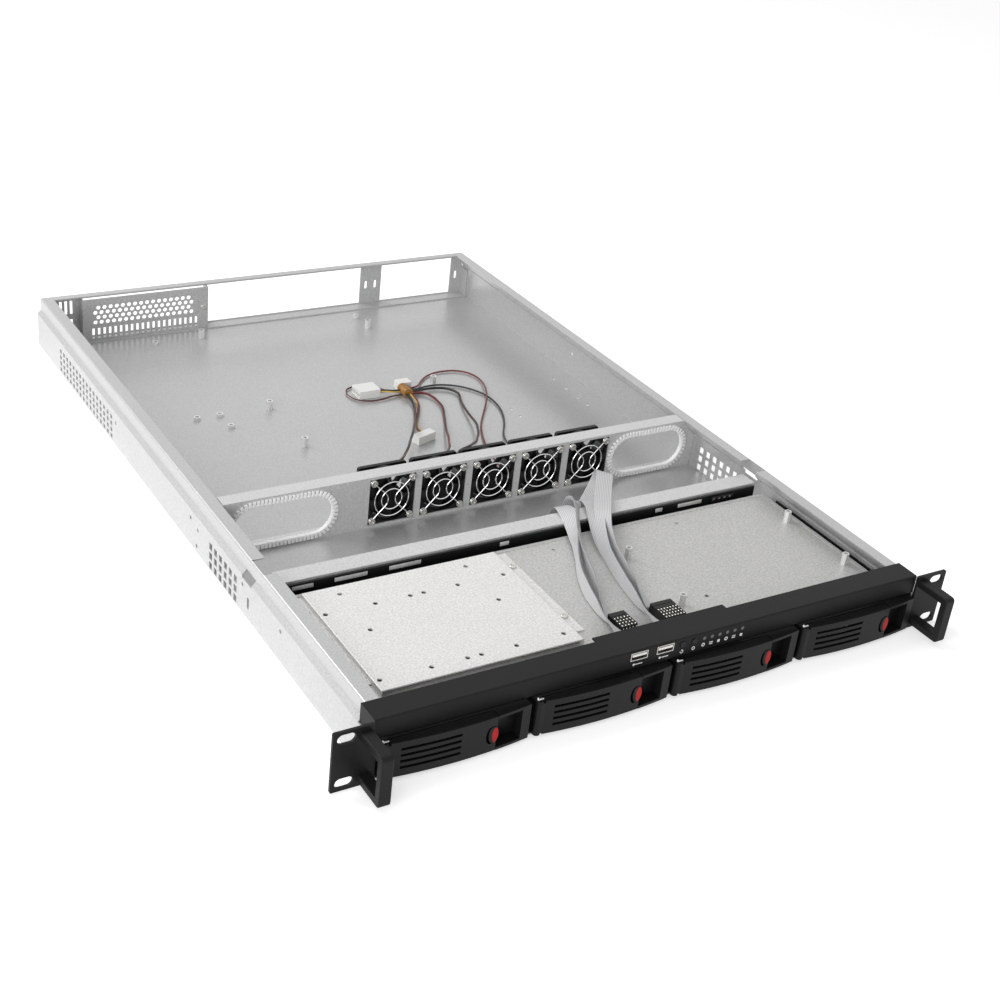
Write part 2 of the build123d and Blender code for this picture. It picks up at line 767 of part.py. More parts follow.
# Raised drive plate on two side flanges
drive_plate_middle = (drive_plate_left + drive_plate_right) / 2
small_drive_holes = [
    (left + dx, small_drive_front + dy)
    for left in small_drive_lefts
    for dx in (0, small_drive_width)
    for dy in (0, small_drive_length)
]
large_drive_holes = [
    (large_drive_left + dx, large_drive_front + dy) for dx in (0, large_drive_width) for dy in (0, large_drive_pitch)
]
with BuildPart() as drive_plate:
    with BuildSketch(facing(drive_plate_front)):
        with Locations((drive_plate_middle, (plate_top + drive_plate_top) / 2)):
            Rectangle(drive_plate_right - drive_plate_left, drive_plate_top - plate_top)
            Rectangle(drive_plate_right - drive_plate_left - 2 * sheet, drive_plate_top - plate_top, mode=Mode.SUBTRACT)
        with Locations((drive_plate_middle, drive_plate_top - sheet / 2)):
            Rectangle(drive_plate_right - drive_plate_left, sheet)
    extrude(amount=back_to(drive_plate_rear - drive_plate_front))
    fillet(
        long_edges(
            drive_plate, Axis.Y, [(-drive_plate_left, None, drive_plate_top), (-drive_plate_right, None, drive_plate_top)]
        ),
        0.9 * sheet,
    )
    with BuildSketch(facing(drive_plate_front + drive_plate_flange + 4)):
        for x in (drive_plate_left - drive_plate_flange / 2, drive_plate_right + drive_plate_flange / 2):
            with Locations((x, plate_top + sheet / 2)):
                Rectangle(drive_plate_flange + 0.02, sheet)
    extrude(amount=back_to(drive_plate_rear - drive_plate_front - drive_plate_flange - 4))
    with BuildSketch(Plane.XY.offset(plate_top - 1)):
        with Locations(*small_drive_holes, *large_drive_holes):
            Circle(drive_hole_radius)
        with Locations(*drive_plate_screws):
            RegularPolygon(small_hole_radius, 8)
    extrude(amount=body_height, mode=Mode.SUBTRACT)
keep(drive_plate, "drive_plate")

# Drive trays
bow_rise = tray_bow_end - tray_bow_middle
bow_radius = (tray_half**2 + bow_rise**2) / (2 * bow_rise)


def bow(x):
    """Depth of the bowed tray front at a distance x from the tray's middle."""
    return tray_bow_middle + bow_radius - math.sqrt(bow_radius**2 - x**2)


def bowed_face(middle, left, right, back, skin=0.0):
    """Face seen from above between left and right, flat at the back and bowed in front."""
    with BuildLine() as outline:
        first = (middle + left, bow(left) + skin)
        centre = (middle + (left + right) / 2, bow((left + right) / 2) + skin)
        last = (middle + right, bow(right) + skin)
        ThreePointArc(first, centre, last)
        Polyline(last, (middle + right, back), (middle + left, back), first)
    return make_face(outline.edges(), mode=Mode.PRIVATE)


lever_left = hinge_x + barrel_radius + lever_gap
vent_heights = [vent_middle + vent_pitch * (i - (vent_count - 1) / 2) for i in range(vent_count)]
for number, bay_x in enumerate(bay_xs, 1):
    hinge = (bay_x + hinge_x, hinge_y)
    with BuildPart() as drive_tray:
        with BuildSketch(Plane.XY.offset(tray_bottom)):
            with Locations((bay_x, (tray_face + tray_back) / 2)):
                Rectangle(2 * tray_half, tray_back - tray_face)
            add(bowed_face(bay_x, lever_right + lever_gap, tray_half, 0))
        extrude(amount=tray_top - tray_bottom)
        with BuildSketch(Plane.XY.offset(recess_floor)):
            with Locations((bay_x + (lever_right + lever_gap + recess_right) / 2, recess_back - 10)):
                Rectangle(recess_right - lever_right - lever_gap, 20)
        extrude(amount=recess_ceiling - recess_floor, mode=Mode.SUBTRACT)
        with BuildSketch(facing(tray_face - 1)):
            with Locations((bay_x + (vent_left + vent_right) / 2, vent_middle)):
                Rectangle(vent_right - vent_left, vent_count * vent_pitch)
        extrude(amount=back_to(tray_back - tray_face + 2), mode=Mode.SUBTRACT)
        for low, high in ((tray_bottom, lever_bottom - lever_play), (lever_top + lever_play, tray_top)):
            with BuildSketch(Plane.XY.offset(low)):
                with Locations(hinge):
                    Circle(barrel_radius)
                with Locations((hinge[0], (hinge_y + tray_face) / 2)):
                    Rectangle(2 * barrel_radius, tray_face - hinge_y)
            extrude(amount=high - low)
        with BuildSketch(Plane.XY.offset(tray_bottom)):
            with Locations(hinge):
                Circle(hinge_pin_radius)
        extrude(amount=tray_top - tray_bottom)
        with BuildSketch(Plane.XY.offset(rail_bottom)):
            for side in (-1, 1):
                with Locations((bay_x + side * (rail_inner + rail_outer) / 2, (tray_back - 2 + rail_end) / 2)):
                    Rectangle(rail_outer - rail_inner, rail_end - tray_back + 2)
                with Locations((bay_x + side * (rail_inner - 1), tray_back + 1)):
                    Rectangle(4, 6)
        extrude(amount=rail_top - rail_bottom)
        with BuildSketch(Plane.XY.offset(rail_bottom)):
            for y in (rail_end / 3, rail_end - rail_bar / 2):
                with Locations((bay_x, y)):
                    Rectangle(2 * rail_inner + 0.02, rail_bar)
        extrude(amount=2 * sheet)
    keep(drive_tray, f"drive_tray_{number}")

    latch_front = bow(latch_centre_x) - latch_stand
    latch_x = bay_x + latch_centre_x
    with BuildPart() as tray_lever:
        with BuildSketch(Plane.XY.offset(tray_bottom + lever_gap / 2)):
            add(bowed_face(bay_x, lever_left, lever_right, lever_back))
        extrude(amount=tray_top - tray_bottom - lever_gap)
        with BuildSketch(Plane.XY.offset(tray_bottom + lever_gap / 2 + lever_rim)):
            add(bowed_face(bay_x, lever_left + lever_rim, latch_centre_x - 2 * latch_half[0], 0, lever_skin))
        extrude(amount=tray_top - tray_bottom - lever_gap - 2 * lever_rim, mode=Mode.SUBTRACT)
        with BuildSketch(Plane.XY.offset(lever_bottom)):
            with Locations(hinge):
                Circle(barrel_radius)
            with Locations(((hinge[0] + bay_x + lever_left) / 2, (hinge_y - barrel_radius + lever_back) / 2)):
                Rectangle(lever_left - hinge_x, lever_back - hinge_y + barrel_radius)
        extrude(amount=lever_top - lever_bottom)
        with BuildSketch(Plane.XY.offset(lever_bottom)):
            with Locations(hinge):
                Circle(hinge_pin_radius + hinge_fit)
        extrude(amount=lever_top - lever_bottom, mode=Mode.SUBTRACT)
        with BuildSketch(facing(tray_bow_middle - 1)):
            with Locations(*[(bay_x + (vent_left + vent_right) / 2, z) for z in vent_heights]):
                Rectangle(vent_right - vent_left, vent_height)
        extrude(amount=back_to(lever_back - tray_bow_middle + 1), mode=Mode.SUBTRACT)
        with BuildSketch(facing(tray_bow_middle - 1)):
            for shift in (0, latch_travel):
                with Locations((latch_x - shift, latch_centre_z)):
                    Ellipse(latch_half[0] + latch_gap, latch_half[1] + latch_gap)
        extrude(amount=back_to(latch_back + latch_gap - tray_bow_middle + 1), mode=Mode.SUBTRACT)
    keep(tray_lever, f"tray_lever_{number}")

    with BuildPart() as tray_latch:
        with BuildSketch(facing(latch_front)):
            with Locations((latch_x, latch_centre_z)):
                Ellipse(*latch_half)
        extrude(amount=back_to(latch_back - latch_front))
        fillet(tray_latch.faces().sort_by(Axis.Y)[0].edges(), latch_stand)
    keep(tray_latch, f"tray_latch_{number}")

# Front cover strip: one folded sheet with its ends turned down
bezel_under = body_height - bezel_sheet
usb_middle = plate_top + board_lift + board_sheet + usb_size[1] / 2
lamp_xs = [lamp_start + lamp_pitch * i for i in range(lamp_count)]
with BuildPart() as bezel:
    with BuildSketch(sideways(-bezel_half)):
        with BuildLine():
            Polyline(
                (0, bezel_bottom),
                (0, body_height),
                (bezel_depth, body_height),
                (bezel_depth, bezel_under),
                (bezel_sheet, bezel_under),
                (bezel_sheet, bezel_bottom),
                close=True,
            )
        make_face()
    extrude(amount=2 * bezel_half)
    fillet(long_edges(bezel, Axis.X, [(0, 0, body_height)]), bezel_sheet)
    with BuildSketch(Plane.XY.offset(bezel_under)):
        with Locations(((bezel_tab_left + bezel_tab_right) / 2, bezel_depth + bezel_tab / 2)):
            Rectangle(bezel_tab_right - bezel_tab_left, bezel_tab)
    extrude(amount=bezel_sheet)
    with BuildSketch(sideways(bezel_half - bezel_sheet)):
        with Locations(((bezel_sheet + bezel_depth) / 2, (bezel_bottom - bezel_end_drop + bezel_under) / 2)):
            Rectangle(bezel_depth - bezel_sheet, bezel_under - bezel_bottom + bezel_end_drop)
    ends = extrude(amount=bezel_sheet - fit_gap / 2)
    mirror(ends, about=Plane.YZ)
    with BuildSketch(facing(-1)):
        with Locations(*[(x, usb_middle) for x in usb_centres]):
            Rectangle(usb_size[0] + 2 * usb_opening_gap, usb_size[1] + 2 * usb_opening_gap)
        with Locations((power_x, button_height), (reset_x, button_height)):
            Circle(button_radius + button_gap)
        with Locations(*[(x, lamp_height) for x in lamp_xs]):
            Circle(lamp_radius + fit_gap)
    extrude(amount=back_to(bezel_sheet + 2), mode=Mode.SUBTRACT)
keep(bezel, "bezel")

# Control board, its switches and its ribbon headers
board_under = plate_top + board_lift
board_top = board_under + board_sheet
with BuildPart() as control_board:
    with BuildSketch(Plane.XY.offset(board_under)):
        with Locations(((board_left + board_right) / 2, (board_front + board_rear) / 2)):
            Rectangle(board_right - board_left, board_rear - board_front)
        with Locations(*spacer_points):
            RegularPolygon(small_hole_radius, 8, mode=Mode.SUBTRACT)
    extrude(amount=board_sheet)
    with BuildSketch(Plane.XY.offset(board_top)):
        for x in (power_x, reset_x):
            with Locations((x, switch_front + switch_size / 2)):
                Rectangle(switch_size, switch_size)
        for x in ribbon_header_xs:
            with Locations((x, board_rear - ribbon_header[1] / 2)):
                Rectangle(ribbon_header[0], ribbon_header[1])
    extrude(amount=ribbon_header[2])
keep(control_board, "control_board")

with BuildPart() as usb_sockets:
    with BuildSketch(facing(-usb_stand)):
        with Locations(*[(x, usb_middle) for x in usb_centres]):
            Rectangle(*usb_size)
    extrude(amount=back_to(usb_depth))
    with BuildSketch(facing(-usb_stand)):
        with Locations(*[(x, usb_middle) for x in usb_centres]):
            Rectangle(usb_size[0] - 2 * usb_wall, usb_size[1] - 2 * usb_wall)
            with Locations((0, usb_tongue / 2)):
                Rectangle(usb_size[0] - 4 * usb_wall, usb_tongue, mode=Mode.SUBTRACT)
    extrude(amount=back_to(usb_depth - 2), mode=Mode.SUBTRACT)
keep(usb_sockets, "usb_sockets")

for label, x in (("power_button", power_x), ("reset_button", reset_x)):
    with BuildPart() as button:
        with BuildSketch(facing(-button_stand)):
            with Locations((x, button_height)):
                Circle(button_radius)
        extrude(amount=back_to(button_stand + bezel_sheet + fit_gap))
        fillet(button.faces().sort_by(Axis.Y)[0].edges(), button_stand / 2)
        with BuildSketch(facing(bezel_sheet + fit_gap)):
            with Locations((x, button_height)):
                Circle(button_radius + button_collar)
        extrude(amount=back_to(button_collar_sheet))
        with BuildSketch(facing(bezel_sheet + fit_gap)):
            with Locations((x, button_height)):
                Circle(button_radius / 3)
        extrude(amount=back_to(switch_front - button_travel - fit_gap - bezel_sheet - fit_gap))
    keep(button, label)

with BuildPart() as indicator_lamps:
    with BuildSketch(facing(-lamp_stand)):
        with Locations(*[(x, lamp_height) for x in lamp_xs]):
            Circle(lamp_radius)
    extrude(amount=back_to(board_front + lamp_stand + 1))
    with BuildSketch(Plane.XY.offset(board_top)):
        with Locations(*[(x, board_front + lamp_radius + 0.6) for x in lamp_xs]):
            Rectangle(2 * lamp_radius, 2 * lamp_radius)
    extrude(amount=lamp_height + lamp_radius - board_top)
keep(indicator_lamps, "indicator_lamps")

# Rack ears and bow handles
handle_low = ear_middle - handle_height / 2
handle_high = ear_middle + handle_height / 2
handle_roots = [handle_low + handle_bar / 2, handle_high - handle_bar / 2]
for side, name in ((-1, "left"), (1, "right")):
    with BuildPart() as rack_ear:
        with BuildSketch(facing(-ear_sheet)):
            with Locations((side * (ear_span / 2 + ear_edge) / 2, ear_middle)):
                RectangleRounded(ear_span / 2 - ear_edge, ear_height, 1.0)
            with Locations((side * (ear_edge + 1 + side_inner - ear_flange_sheet) / 2, ear_flange_middle)):
                Rectangle(ear_edge + 1 - side_inner + ear_flange_sheet, ear_flange_height)
            with Locations(*[(side * ear_slot_span / 2, ear_middle + s * ear_slot_pitch / 2) for s in (-1, 1)]):
                SlotOverall(*ear_slot, mode=Mode.SUBTRACT)
            with Locations(*[(side * handle_centre, z) for z in handle_roots]):
                Circle(small_hole_radius, mode=Mode.SUBTRACT)
        extrude(amount=back_to(ear_sheet))
        with BuildSketch(facing(-ear_sheet)):
            with Locations((side * (side_inner - fit_gap / 2 - ear_flange_sheet / 2), ear_flange_middle)):
                Rectangle(ear_flange_sheet - fit_gap, ear_flange_height)
        extrude(amount=back_to(ear_sheet + ear_flange_depth))
    keep(rack_ear, f"rack_ear_{name}")

    with BuildPart() as handle:
        inner = side * handle_centre - handle_width / 2
        with BuildSketch(sideways(inner)) as handle_outline:
            with Locations((-ear_sheet - handle_reach / 2, ear_middle)):
                Rectangle(handle_reach, handle_height)
            fillet(handle_outline.vertices().group_by(Axis.X)[0], handle_corner)
            with Locations((-ear_sheet - (handle_reach - handle_bar) / 2, ear_middle)):
                Rectangle(handle_reach - handle_bar, handle_height - 2 * handle_bar, mode=Mode.SUBTRACT)
        extrude(amount=handle_width)
        rims = handle.edges().filter_by(Axis.X, reverse=True)
        fillet(rims.filter_by(lambda edge: edge.center().Y < -ear_sheet - fit_gap), handle_edge)
        with BuildSketch(facing(-ear_sheet - handle_screw_depth)):
            with Locations(*[(side * handle_centre, z) for z in handle_roots]):
                RegularPolygon(small_hole_radius, 8)
        extrude(amount=back_to(handle_screw_depth), mode=Mode.SUBTRACT)
    keep(handle, f"handle_{name}")

# Standoffs: hexagonal posts with a threaded hole
posts = [
    (board_standoff_points, board_standoff_radius, plate_top, board_standoff_height),
    (spacer_points, board_standoff_radius, plate_top, board_lift),
    (floor_standoff_points, floor_standoff_radius, sheet, floor_standoff_height),
    (low_standoff_points, floor_standoff_radius, sheet, low_standoff_height),
]
with BuildPart() as standoffs:
    for points, radius, foot, height in posts:
        with BuildSketch(Plane.XY.offset(foot)):
            with Locations(*points):
                RegularPolygon(radius, 6)
                Circle(small_hole_radius, mode=Mode.SUBTRACT)
        extrude(amount=height)
keep(standoffs, "standoffs")

# Screws, each a head and a plain shank in its hole
down = [
    (drive_plate_screws, plate_top + sheet),
    (spacer_points, board_top),
]
fan_screws = [(x + i, fan_middle + j) for x in fan_xs for i in (-16, 16) for j in (-16, 16)]
handle_screws = [(side * handle_centre, z) for side in (-1, 1) for z in handle_roots]
with BuildPart() as screws:
    for points, seat in down:
        with BuildSketch(Plane.XY.offset(seat)):
            with Locations(*points):
                RegularPolygon(screw_head, screw_sides)
        extrude(amount=screw_head_height)
        with BuildSketch(Plane.XY.offset(seat - screw_length)):
            with Locations(*points):
                RegularPolygon(screw_radius, screw_sides)
        extrude(amount=screw_length)
    for points, seat in ((fan_screws, fan_front - guard_wire), (riser_screw_points, riser_front)):
        with BuildSketch(facing(seat - screw_head_height)):
            with Locations(*points):
                RegularPolygon(screw_head, screw_sides)
        extrude(amount=back_to(screw_head_height))
        with BuildSketch(facing(seat)):
            with Locations(*points):
                RegularPolygon(screw_radius, screw_sides)
        extrude(amount=back_to(screw_length))
    with BuildSketch(facing(0)):
        with Locations(*handle_screws):
            RegularPolygon(screw_head, screw_sides)
    extrude(amount=back_to(screw_head_height))
    with BuildSketch(facing(-ear_sheet - screw_length)):
        with Locations(*handle_screws):
            RegularPolygon(screw_radius, screw_sides)
    extrude(amount=back_to(ear_sheet + screw_length))
keep(screws, "screws")


def footprint(left, right, front, rear):
    """Rounded rectangle seen from above, between its left, right, front and rear."""
    outline = RectangleRounded(right - left, rear - front, plug_corner, mode=Mode.PRIVATE)
    return Pos((left + right) / 2, (front + rear) / 2) * outline


# Tie and white plugs of the wiring, as they lie on the floor
with BuildPart() as harness_tie:
    left, right, front, rear = tie_span
    with BuildSketch(Plane.XY.offset(tie_rise[0])):
        add(footprint(*tie_span))
    extrude(amount=tie_rise[1] - tie_rise[0])
    with BuildSketch(Plane.XY.offset(tie_rise[1])):
        with Locations(((left + right) / 2, (front + rear) / 2)):
            Rectangle(right - left - 3, (rear - front) / 3)
    extrude(amount=sheet)
keep(harness_tie, "harness_tie")

with BuildPart() as power_plugs:
    with BuildSketch(Plane.XY.offset(plug_rise[0])):
        add(footprint(*power_plug_span))
        add(footprint(*drive_plug_span))
        with Locations(Location((*sensor_plug_centre, 0), sensor_plug_turn)):
            Rectangle(*sensor_plug_size)
    extrude(amount=plug_rise[1] - plug_rise[0])
    plug_middle = (plug_rise[0] + plug_rise[1]) / 2
    with BuildSketch(sideways(power_plug_span[0])):
        with Locations(((power_plug_span[2] + power_plug_span[3]) / 2, plug_middle)):
            with GridLocations(plug_pin + sheet, 1, 4, 1):
                Rectangle(plug_pin, plug_pin)
    extrude(amount=(power_plug_span[1] - power_plug_span[0]) / 2, mode=Mode.SUBTRACT)
    with BuildSketch(facing(drive_plug_span[3])):
        with Locations(((drive_plug_span[0] + drive_plug_span[1]) / 2, plug_middle)):
            with GridLocations(plug_pin + sheet, 1, 3, 1):
                Rectangle(plug_pin, plug_pin)
    extrude(amount=(drive_plug_span[3] - drive_plug_span[2]) / 2, mode=Mode.SUBTRACT)
keep(power_plugs, "power_plugs")

# Header plugs of the two ribbons, side by side on the bay plate
for span, name in zip(header_plug_spans, "ab"):
    left, right, front, rear = span
    rows = round((rear - front) / 4.2)
    with BuildPart() as header_plug:
        with BuildSketch(Plane.XY.offset(header_plug_rise[0])):
            add(footprint(*span))
        extrude(amount=header_plug_rise[1] - header_plug_rise[0])
        with BuildSketch(Plane.XY.offset(header_plug_rise[1] - header_plug_groove)):
            with Locations(((left + right) / 2, (front + rear) / 2)):
                with GridLocations(1, (rear - front) / rows, 1, rows - 1):
                    Rectangle(right - left + 1, header_plug_groove)
        extrude(amount=header_plug_groove, mode=Mode.SUBTRACT)
    keep(header_plug, f"header_plug_{name}")

# Cords: straight runs joined by arcs as large as the runs allow
ribbon_left_route = [
    (-22, 22, 38.2), (-22, 30, 38.2), (-21, 44, 37.5), (-18, 60, 37), (-13, 82, 37), (-5, 103, 37.2),
    (6, 122, 37.8), (15, 138, 38.4), (23, 153, 38.7), (30, 168, 38.7), (33, 183, 38.3), (33.8, 191, 31),
    (33.5, 192, 17.4), (38.6, 193.8, 12), (45.9, 196.2, 12), (51, 198, 17.4), (50.5, 197.5, 26),
    (47.5, 190.5, 37), (41, 178, 41.3), (32, 162, 41.5), (23, 146, 40.6), (13, 129, 38.5), (5, 109, 37.2),
    (-2, 89, 37), (-8, 72, 36), (-10, 60, 33.4), (-10, 51, 33.4),
]
ribbon_right_route = [
    (9, 22, 38.2), (9, 30, 38.2), (10, 43, 37.4), (13, 60, 37), (18.5, 86, 37), (26, 112, 37.4),
    (35, 136, 38.2), (45, 155, 38.6), (54, 172, 38.7), (57, 186, 38), (57.5, 194, 30), (57, 199, 20),
    (60, 206, 11), (69, 213, 6.5), (81, 220, 7), (91, 226, 13), (97, 228, 22.5), (97.5, 225, 31.5),
    (93, 216.5, 38.5), (85, 205, 41.7), (73, 189, 41.9), (60, 171, 41.9), (49, 154, 41.6), (42, 138, 39.4),
    (34, 115, 37.3), (27, 92, 37), (23, 73, 36), (22.5, 60, 33.4), (22.5, 51, 33.4),
]
fan_lead_routes = [
    [
        (-50, 281, 32.8), (-50, 288, 32.8), (-41, 298, 31), (-28, 313, 26), (-8, 341, 22), (16, 378, 14),
        (33, 408, 6), (43, 428, 3.2), (46, 439, 4), (46, 448, 4),
    ],
    [
        (-6.2, 281, 32.8), (-6.2, 288, 32.8), (2, 300, 30), (18, 323, 20), (38, 360, 9), (50, 386, 3.4),
        (61, 407, 2.8), (67, 422, 2.8), (68, 436, 2.9), (65, 446, 3.2), (59, 450, 3.6), (53, 450, 3.6),
    ],
    [
        (3.5, 281, 32.8), (3.5, 289, 32.8), (13, 298, 31), (28, 308, 27), (45, 326, 19), (63, 353, 12),
        (75, 378, 7), (80, 400, 3.6), (86, 422, 2.8), (94, 439, 2.8), (88, 451, 3), (76, 454.5, 3.2),
        (64.5, 453.7, 3.6), (53, 453.7, 3.6),
    ],
    [
        (47, 281, 12), (47, 288, 12), (52, 301, 8), (60, 325, 3.6), (68, 352, 2.4), (80, 378, 2.4),
        (97, 401, 2.4), (110, 418, 4.8), (119, 436, 4.8), (126, 453, 2.4), (126, 470, 2.4),
        (116, 482, 2.4), (99, 485, 2.4), (84, 481, 2.4), (73, 472, 2.6), (66.5, 464, 3), (60, 460.2, 3.4),
        (53, 460.2, 3.4),
    ],
    [
        (91, 281, 12), (91, 288, 12), (86, 301, 8), (82, 325, 3.6), (87, 353, 2.4), (104, 377, 2.4),
        (115, 403, 2.4), (116, 430, 2.4), (104, 450, 2.4), (88, 460, 2.4), (73, 461, 2.6), (61.5, 457, 3.4),
        (53, 457, 3.4),
    ],
]
power_lead_route = [(43, 456, 4.8), (37, 456, 4.8), (31, 460, 4.8), (25, 460, 4.8)]
feed_lead_route = [
    (43, 459.5, 3), (38.5, 459.5, 3), (34, 464, 2.8), (30, 472, 2.4), (22, 479, 2.4), (10, 481, 2.4),
    (1, 477, 2.4), (-2, 467, 2.4), (1, 456, 2.4), (10, 450, 2.4), (21, 449, 2.4), (34.5, 452, 3),
    (43, 452, 3),
]
sensor_lead_route = [
    (25.02, 376.35, 4.6), (22.84, 383.06, 4.6), (26, 393, 4), (34, 406, 3.2), (43, 420, 2.8), (49, 432, 3.4),
    (50, 441, 4), (50, 448, 4),
]
cord_list = [
    ("ribbon_a", ribbon_left_route, ribbon_radius),
    ("ribbon_b", ribbon_right_route, ribbon_radius),
    ("power_lead", power_lead_route, power_lead_radius),
    ("feed_lead", feed_lead_route, wire_radius),
    ("sensor_lead", sensor_lead_route, fan_lead_radius),
]
for number, route in enumerate(fan_lead_routes, 1):
    cord_list.append((f"fan_lead_{number}", route, wire_radius if number > 3 else fan_lead_radius))

for label, route, radius in cord_list:
    points = [Vector(*point) for point in route]
    bends = []
    for before, at, after in zip(points, points[1:], points[2:]):
        turn = math.radians((at - before).get_angle(after - at))
        bends.append(0.45 * min((at - before).length, (after - at).length) / math.tan(turn / 2))
    with BuildPart() as cord:
        with BuildLine():
            centreline = FilletPolyline(*points, radius=bends)
        with BuildSketch(Plane(points[0], z_dir=points[1] - points[0])):
            Circle(radius)
        sweep()
    full = math.pi * radius**2 * centreline.length
    print(label, "length", round(centreline.length, 1), "radii", [round(bend, 1) for bend in bends])
    print(label, "volume over section times length", round(cord.part.volume / full, 4))
    keep(cord, label)

os.makedirs("parts", exist_ok=True)
for piece in pieces:
    export_step(piece, f"parts/{piece.label}.step")
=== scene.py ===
import math
import random

import bmesh
import bpy
from bpy.props import FloatProperty, FloatVectorProperty, IntProperty, PointerProperty
from mathutils import Matrix, Vector


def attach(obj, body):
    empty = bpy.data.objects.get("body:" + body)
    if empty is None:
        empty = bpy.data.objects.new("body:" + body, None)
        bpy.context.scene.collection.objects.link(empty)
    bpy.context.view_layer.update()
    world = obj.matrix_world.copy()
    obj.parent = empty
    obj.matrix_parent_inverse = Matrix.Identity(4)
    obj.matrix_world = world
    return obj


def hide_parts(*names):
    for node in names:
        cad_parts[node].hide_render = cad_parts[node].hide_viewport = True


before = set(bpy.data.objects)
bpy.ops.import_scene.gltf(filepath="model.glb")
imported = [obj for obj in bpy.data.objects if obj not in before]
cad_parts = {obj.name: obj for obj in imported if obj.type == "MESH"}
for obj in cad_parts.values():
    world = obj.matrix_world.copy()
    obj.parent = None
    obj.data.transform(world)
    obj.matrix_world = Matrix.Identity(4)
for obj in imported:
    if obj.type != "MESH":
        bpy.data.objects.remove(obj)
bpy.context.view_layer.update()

bl_info = {
    "name": "Rackmount server case",
    "version": (1, 0, 0),
    "blender": (4, 5, 0),
    "location": "3D Viewport > Sidebar > Server case",
    "description": "Finishes and fine pieces of an empty one-unit server case around its CAD frame",
    "category": "Object",
}

MM = 0.001
CHASSIS = "chassis"

# The photograph's camera, in metres and degrees
CAMERA_PLACE = (-0.57702, -0.63774, 0.60167)
CAMERA_TURN = (60.882, -5.9486, -30.7351)
CAMERA_SENSOR = 36.0
CAMERA_LENS = 57.153

# Places and sizes on the case, in millimetres, with y to the rear and z up
BAYS = [106.5 * (i - 1.5) for i in range(4)]
FANS = [-67.0 + 43.75 * i for i in range(5)]
FAN_MIDDLE = 22.3
FAN_FRONT = 261.0
FAN_HOLES = (-16, 16)
GUARD_RINGS = (14.2, 8.5)
GUARD_EYE = 2.3
GUARD_ARM_MIDDLE = 10
GUARD_ARM_RADIUS = 5 * math.sqrt(2)
# Middle and width of each cable way
WAYS = [(-154.5, 80.0), (166.9, 72.2)]
WAY_HEIGHT = 34.0
WAY_MIDDLE = 21.8
RIM_WIDTH = 1.9
RIM_DEPTHS = (259.6, 260.5, 261.4)
RIM_OFFSET = -0.5
TOOTH = (2.35, 1.4, 4.6)
TOOTH_PITCH = 3.0
TOOTH_DEPTHS = (259.35, 261.65)
TOOTH_OFFSET = 0.75
# A latch's red lens: from the middle of its bay, height, half width and half height
LENS = (24.7, 15.4, 2.3, 5.6)
# The seats of the screws: x, y and z, or the values that each of them takes
PLATE_SCREWS = ((-196.0, -40.0), (66.0, 132.5), 31.0)
STRIP_SCREWS = ((-41.0, 62.0), (7.5, 18.0), 36.2)
FAN_SCREW_FRONT = 259.8
EAR_SCREWS = ((-220.0, 220.0), (6.55, 37.05))
REAR_SCREW = (-65.5, 640.0, 22.0)
SCREW_HEIGHT = 1.5
SCREW_ROUNDING = 0.6
SCREW_CROSS = (3.0, 0.7)
CROSS_DEPTH = 0.6
SHANK_RADIUS = 1.4
SHANK_LENGTH = 2.6
SHANK_BEVEL = 0.4
# A light pipe's bar and stalk: size, and place from the middle of its bay
PIPE_BAR = ((4.2, 1.0, 0.7), (-47.8, -3.4, 28.85))
PIPE_STALK = ((0.9, 0.9, 1.5), (-49.6, -2.9, 29.2))
# The marks on the front strip: rings have a radius and a line's width, bars a width and a height
MARK_DEPTH = 0.06
USB_MARKS = (-26.5, -6.0)
USB_MARK_HEIGHT = 33.0
USB_BAR = (5.4, 0.6)
USB_BAR_SHIFT = 0.6
USB_DOT = (0.5, 0.7)
USB_DOT_SHIFT = -3.4
POWER_MARK = (8.0, 33.2)
POWER_BAR = (0.5, 1.2)
POWER_BAR_HEIGHT = 34.2
RESET_MARK = (17.5, 33.4)
BUTTON_RING = (1.1, 0.5)
LAMP_MARKS = [25.5 + 6.3 * i for i in range(6)]
LAMP_MARK_HEIGHT = 34.0
LAMP_RING = (1.05, 0.65)
LAMP_BAR = (2.8, 0.7)
LAMP_SQUARE = (2.0, 2.0)
# Left, right and front of each header plug
HEADER_PLUGS = ((-16.0, -3.0, 34.0), (18.5, 35.5, 32.0))
PIN = (0.9, 0.5, 0.9)
PIN_PITCH = 2.54
PIN_ROWS = (32.2, 34.9)
CLIP = (0.75, 1.1, 0.3)
CLIP_ROWS = (1.4, 4.4, 7.4, 10.4)
CLIP_HEIGHT = 36.5
# Left and right of each patch of painted light on the backplane, which stands in for the lit bracket seen through
# the board's windows, and the header beside them
WINDOW_LIGHT_SPANS = [(-193, -177), (-162, -137), (-121, -96), (-33, -25), (103, 110), (124, 147)]
WINDOW_LIGHT_FRONT = 161.5
HEADER_AND_WINDOW_LIGHT_HEIGHT = 31.35
WINDOW_LIGHT_SIDES = (0.8, 3.2)
WINDOW_LIGHT_GAP = 0.5
HEADER_PIN = (2.4, 1.2, 1.6)
HEADER_LEFT = 155.0
HEADER_PITCH = 5.25
HEADER_FRONT = 160.4
# The tape round the leads
TAPE_MIDDLE = (48, 455, 5.2)
TAPE_CORE = (7.6, 12.0, 5.6)
TAPE_TURNS = 6
TAPE_START = -5.6
TAPE_PITCH = 2.2
TAPE_WIDTH = 1.9
# How far a turn of tape reaches sideways, along and upwards, and how much higher every second turn is
TAPE_REACH = (3.9, 0.7, 2.9)
TAPE_STEP = 0.15

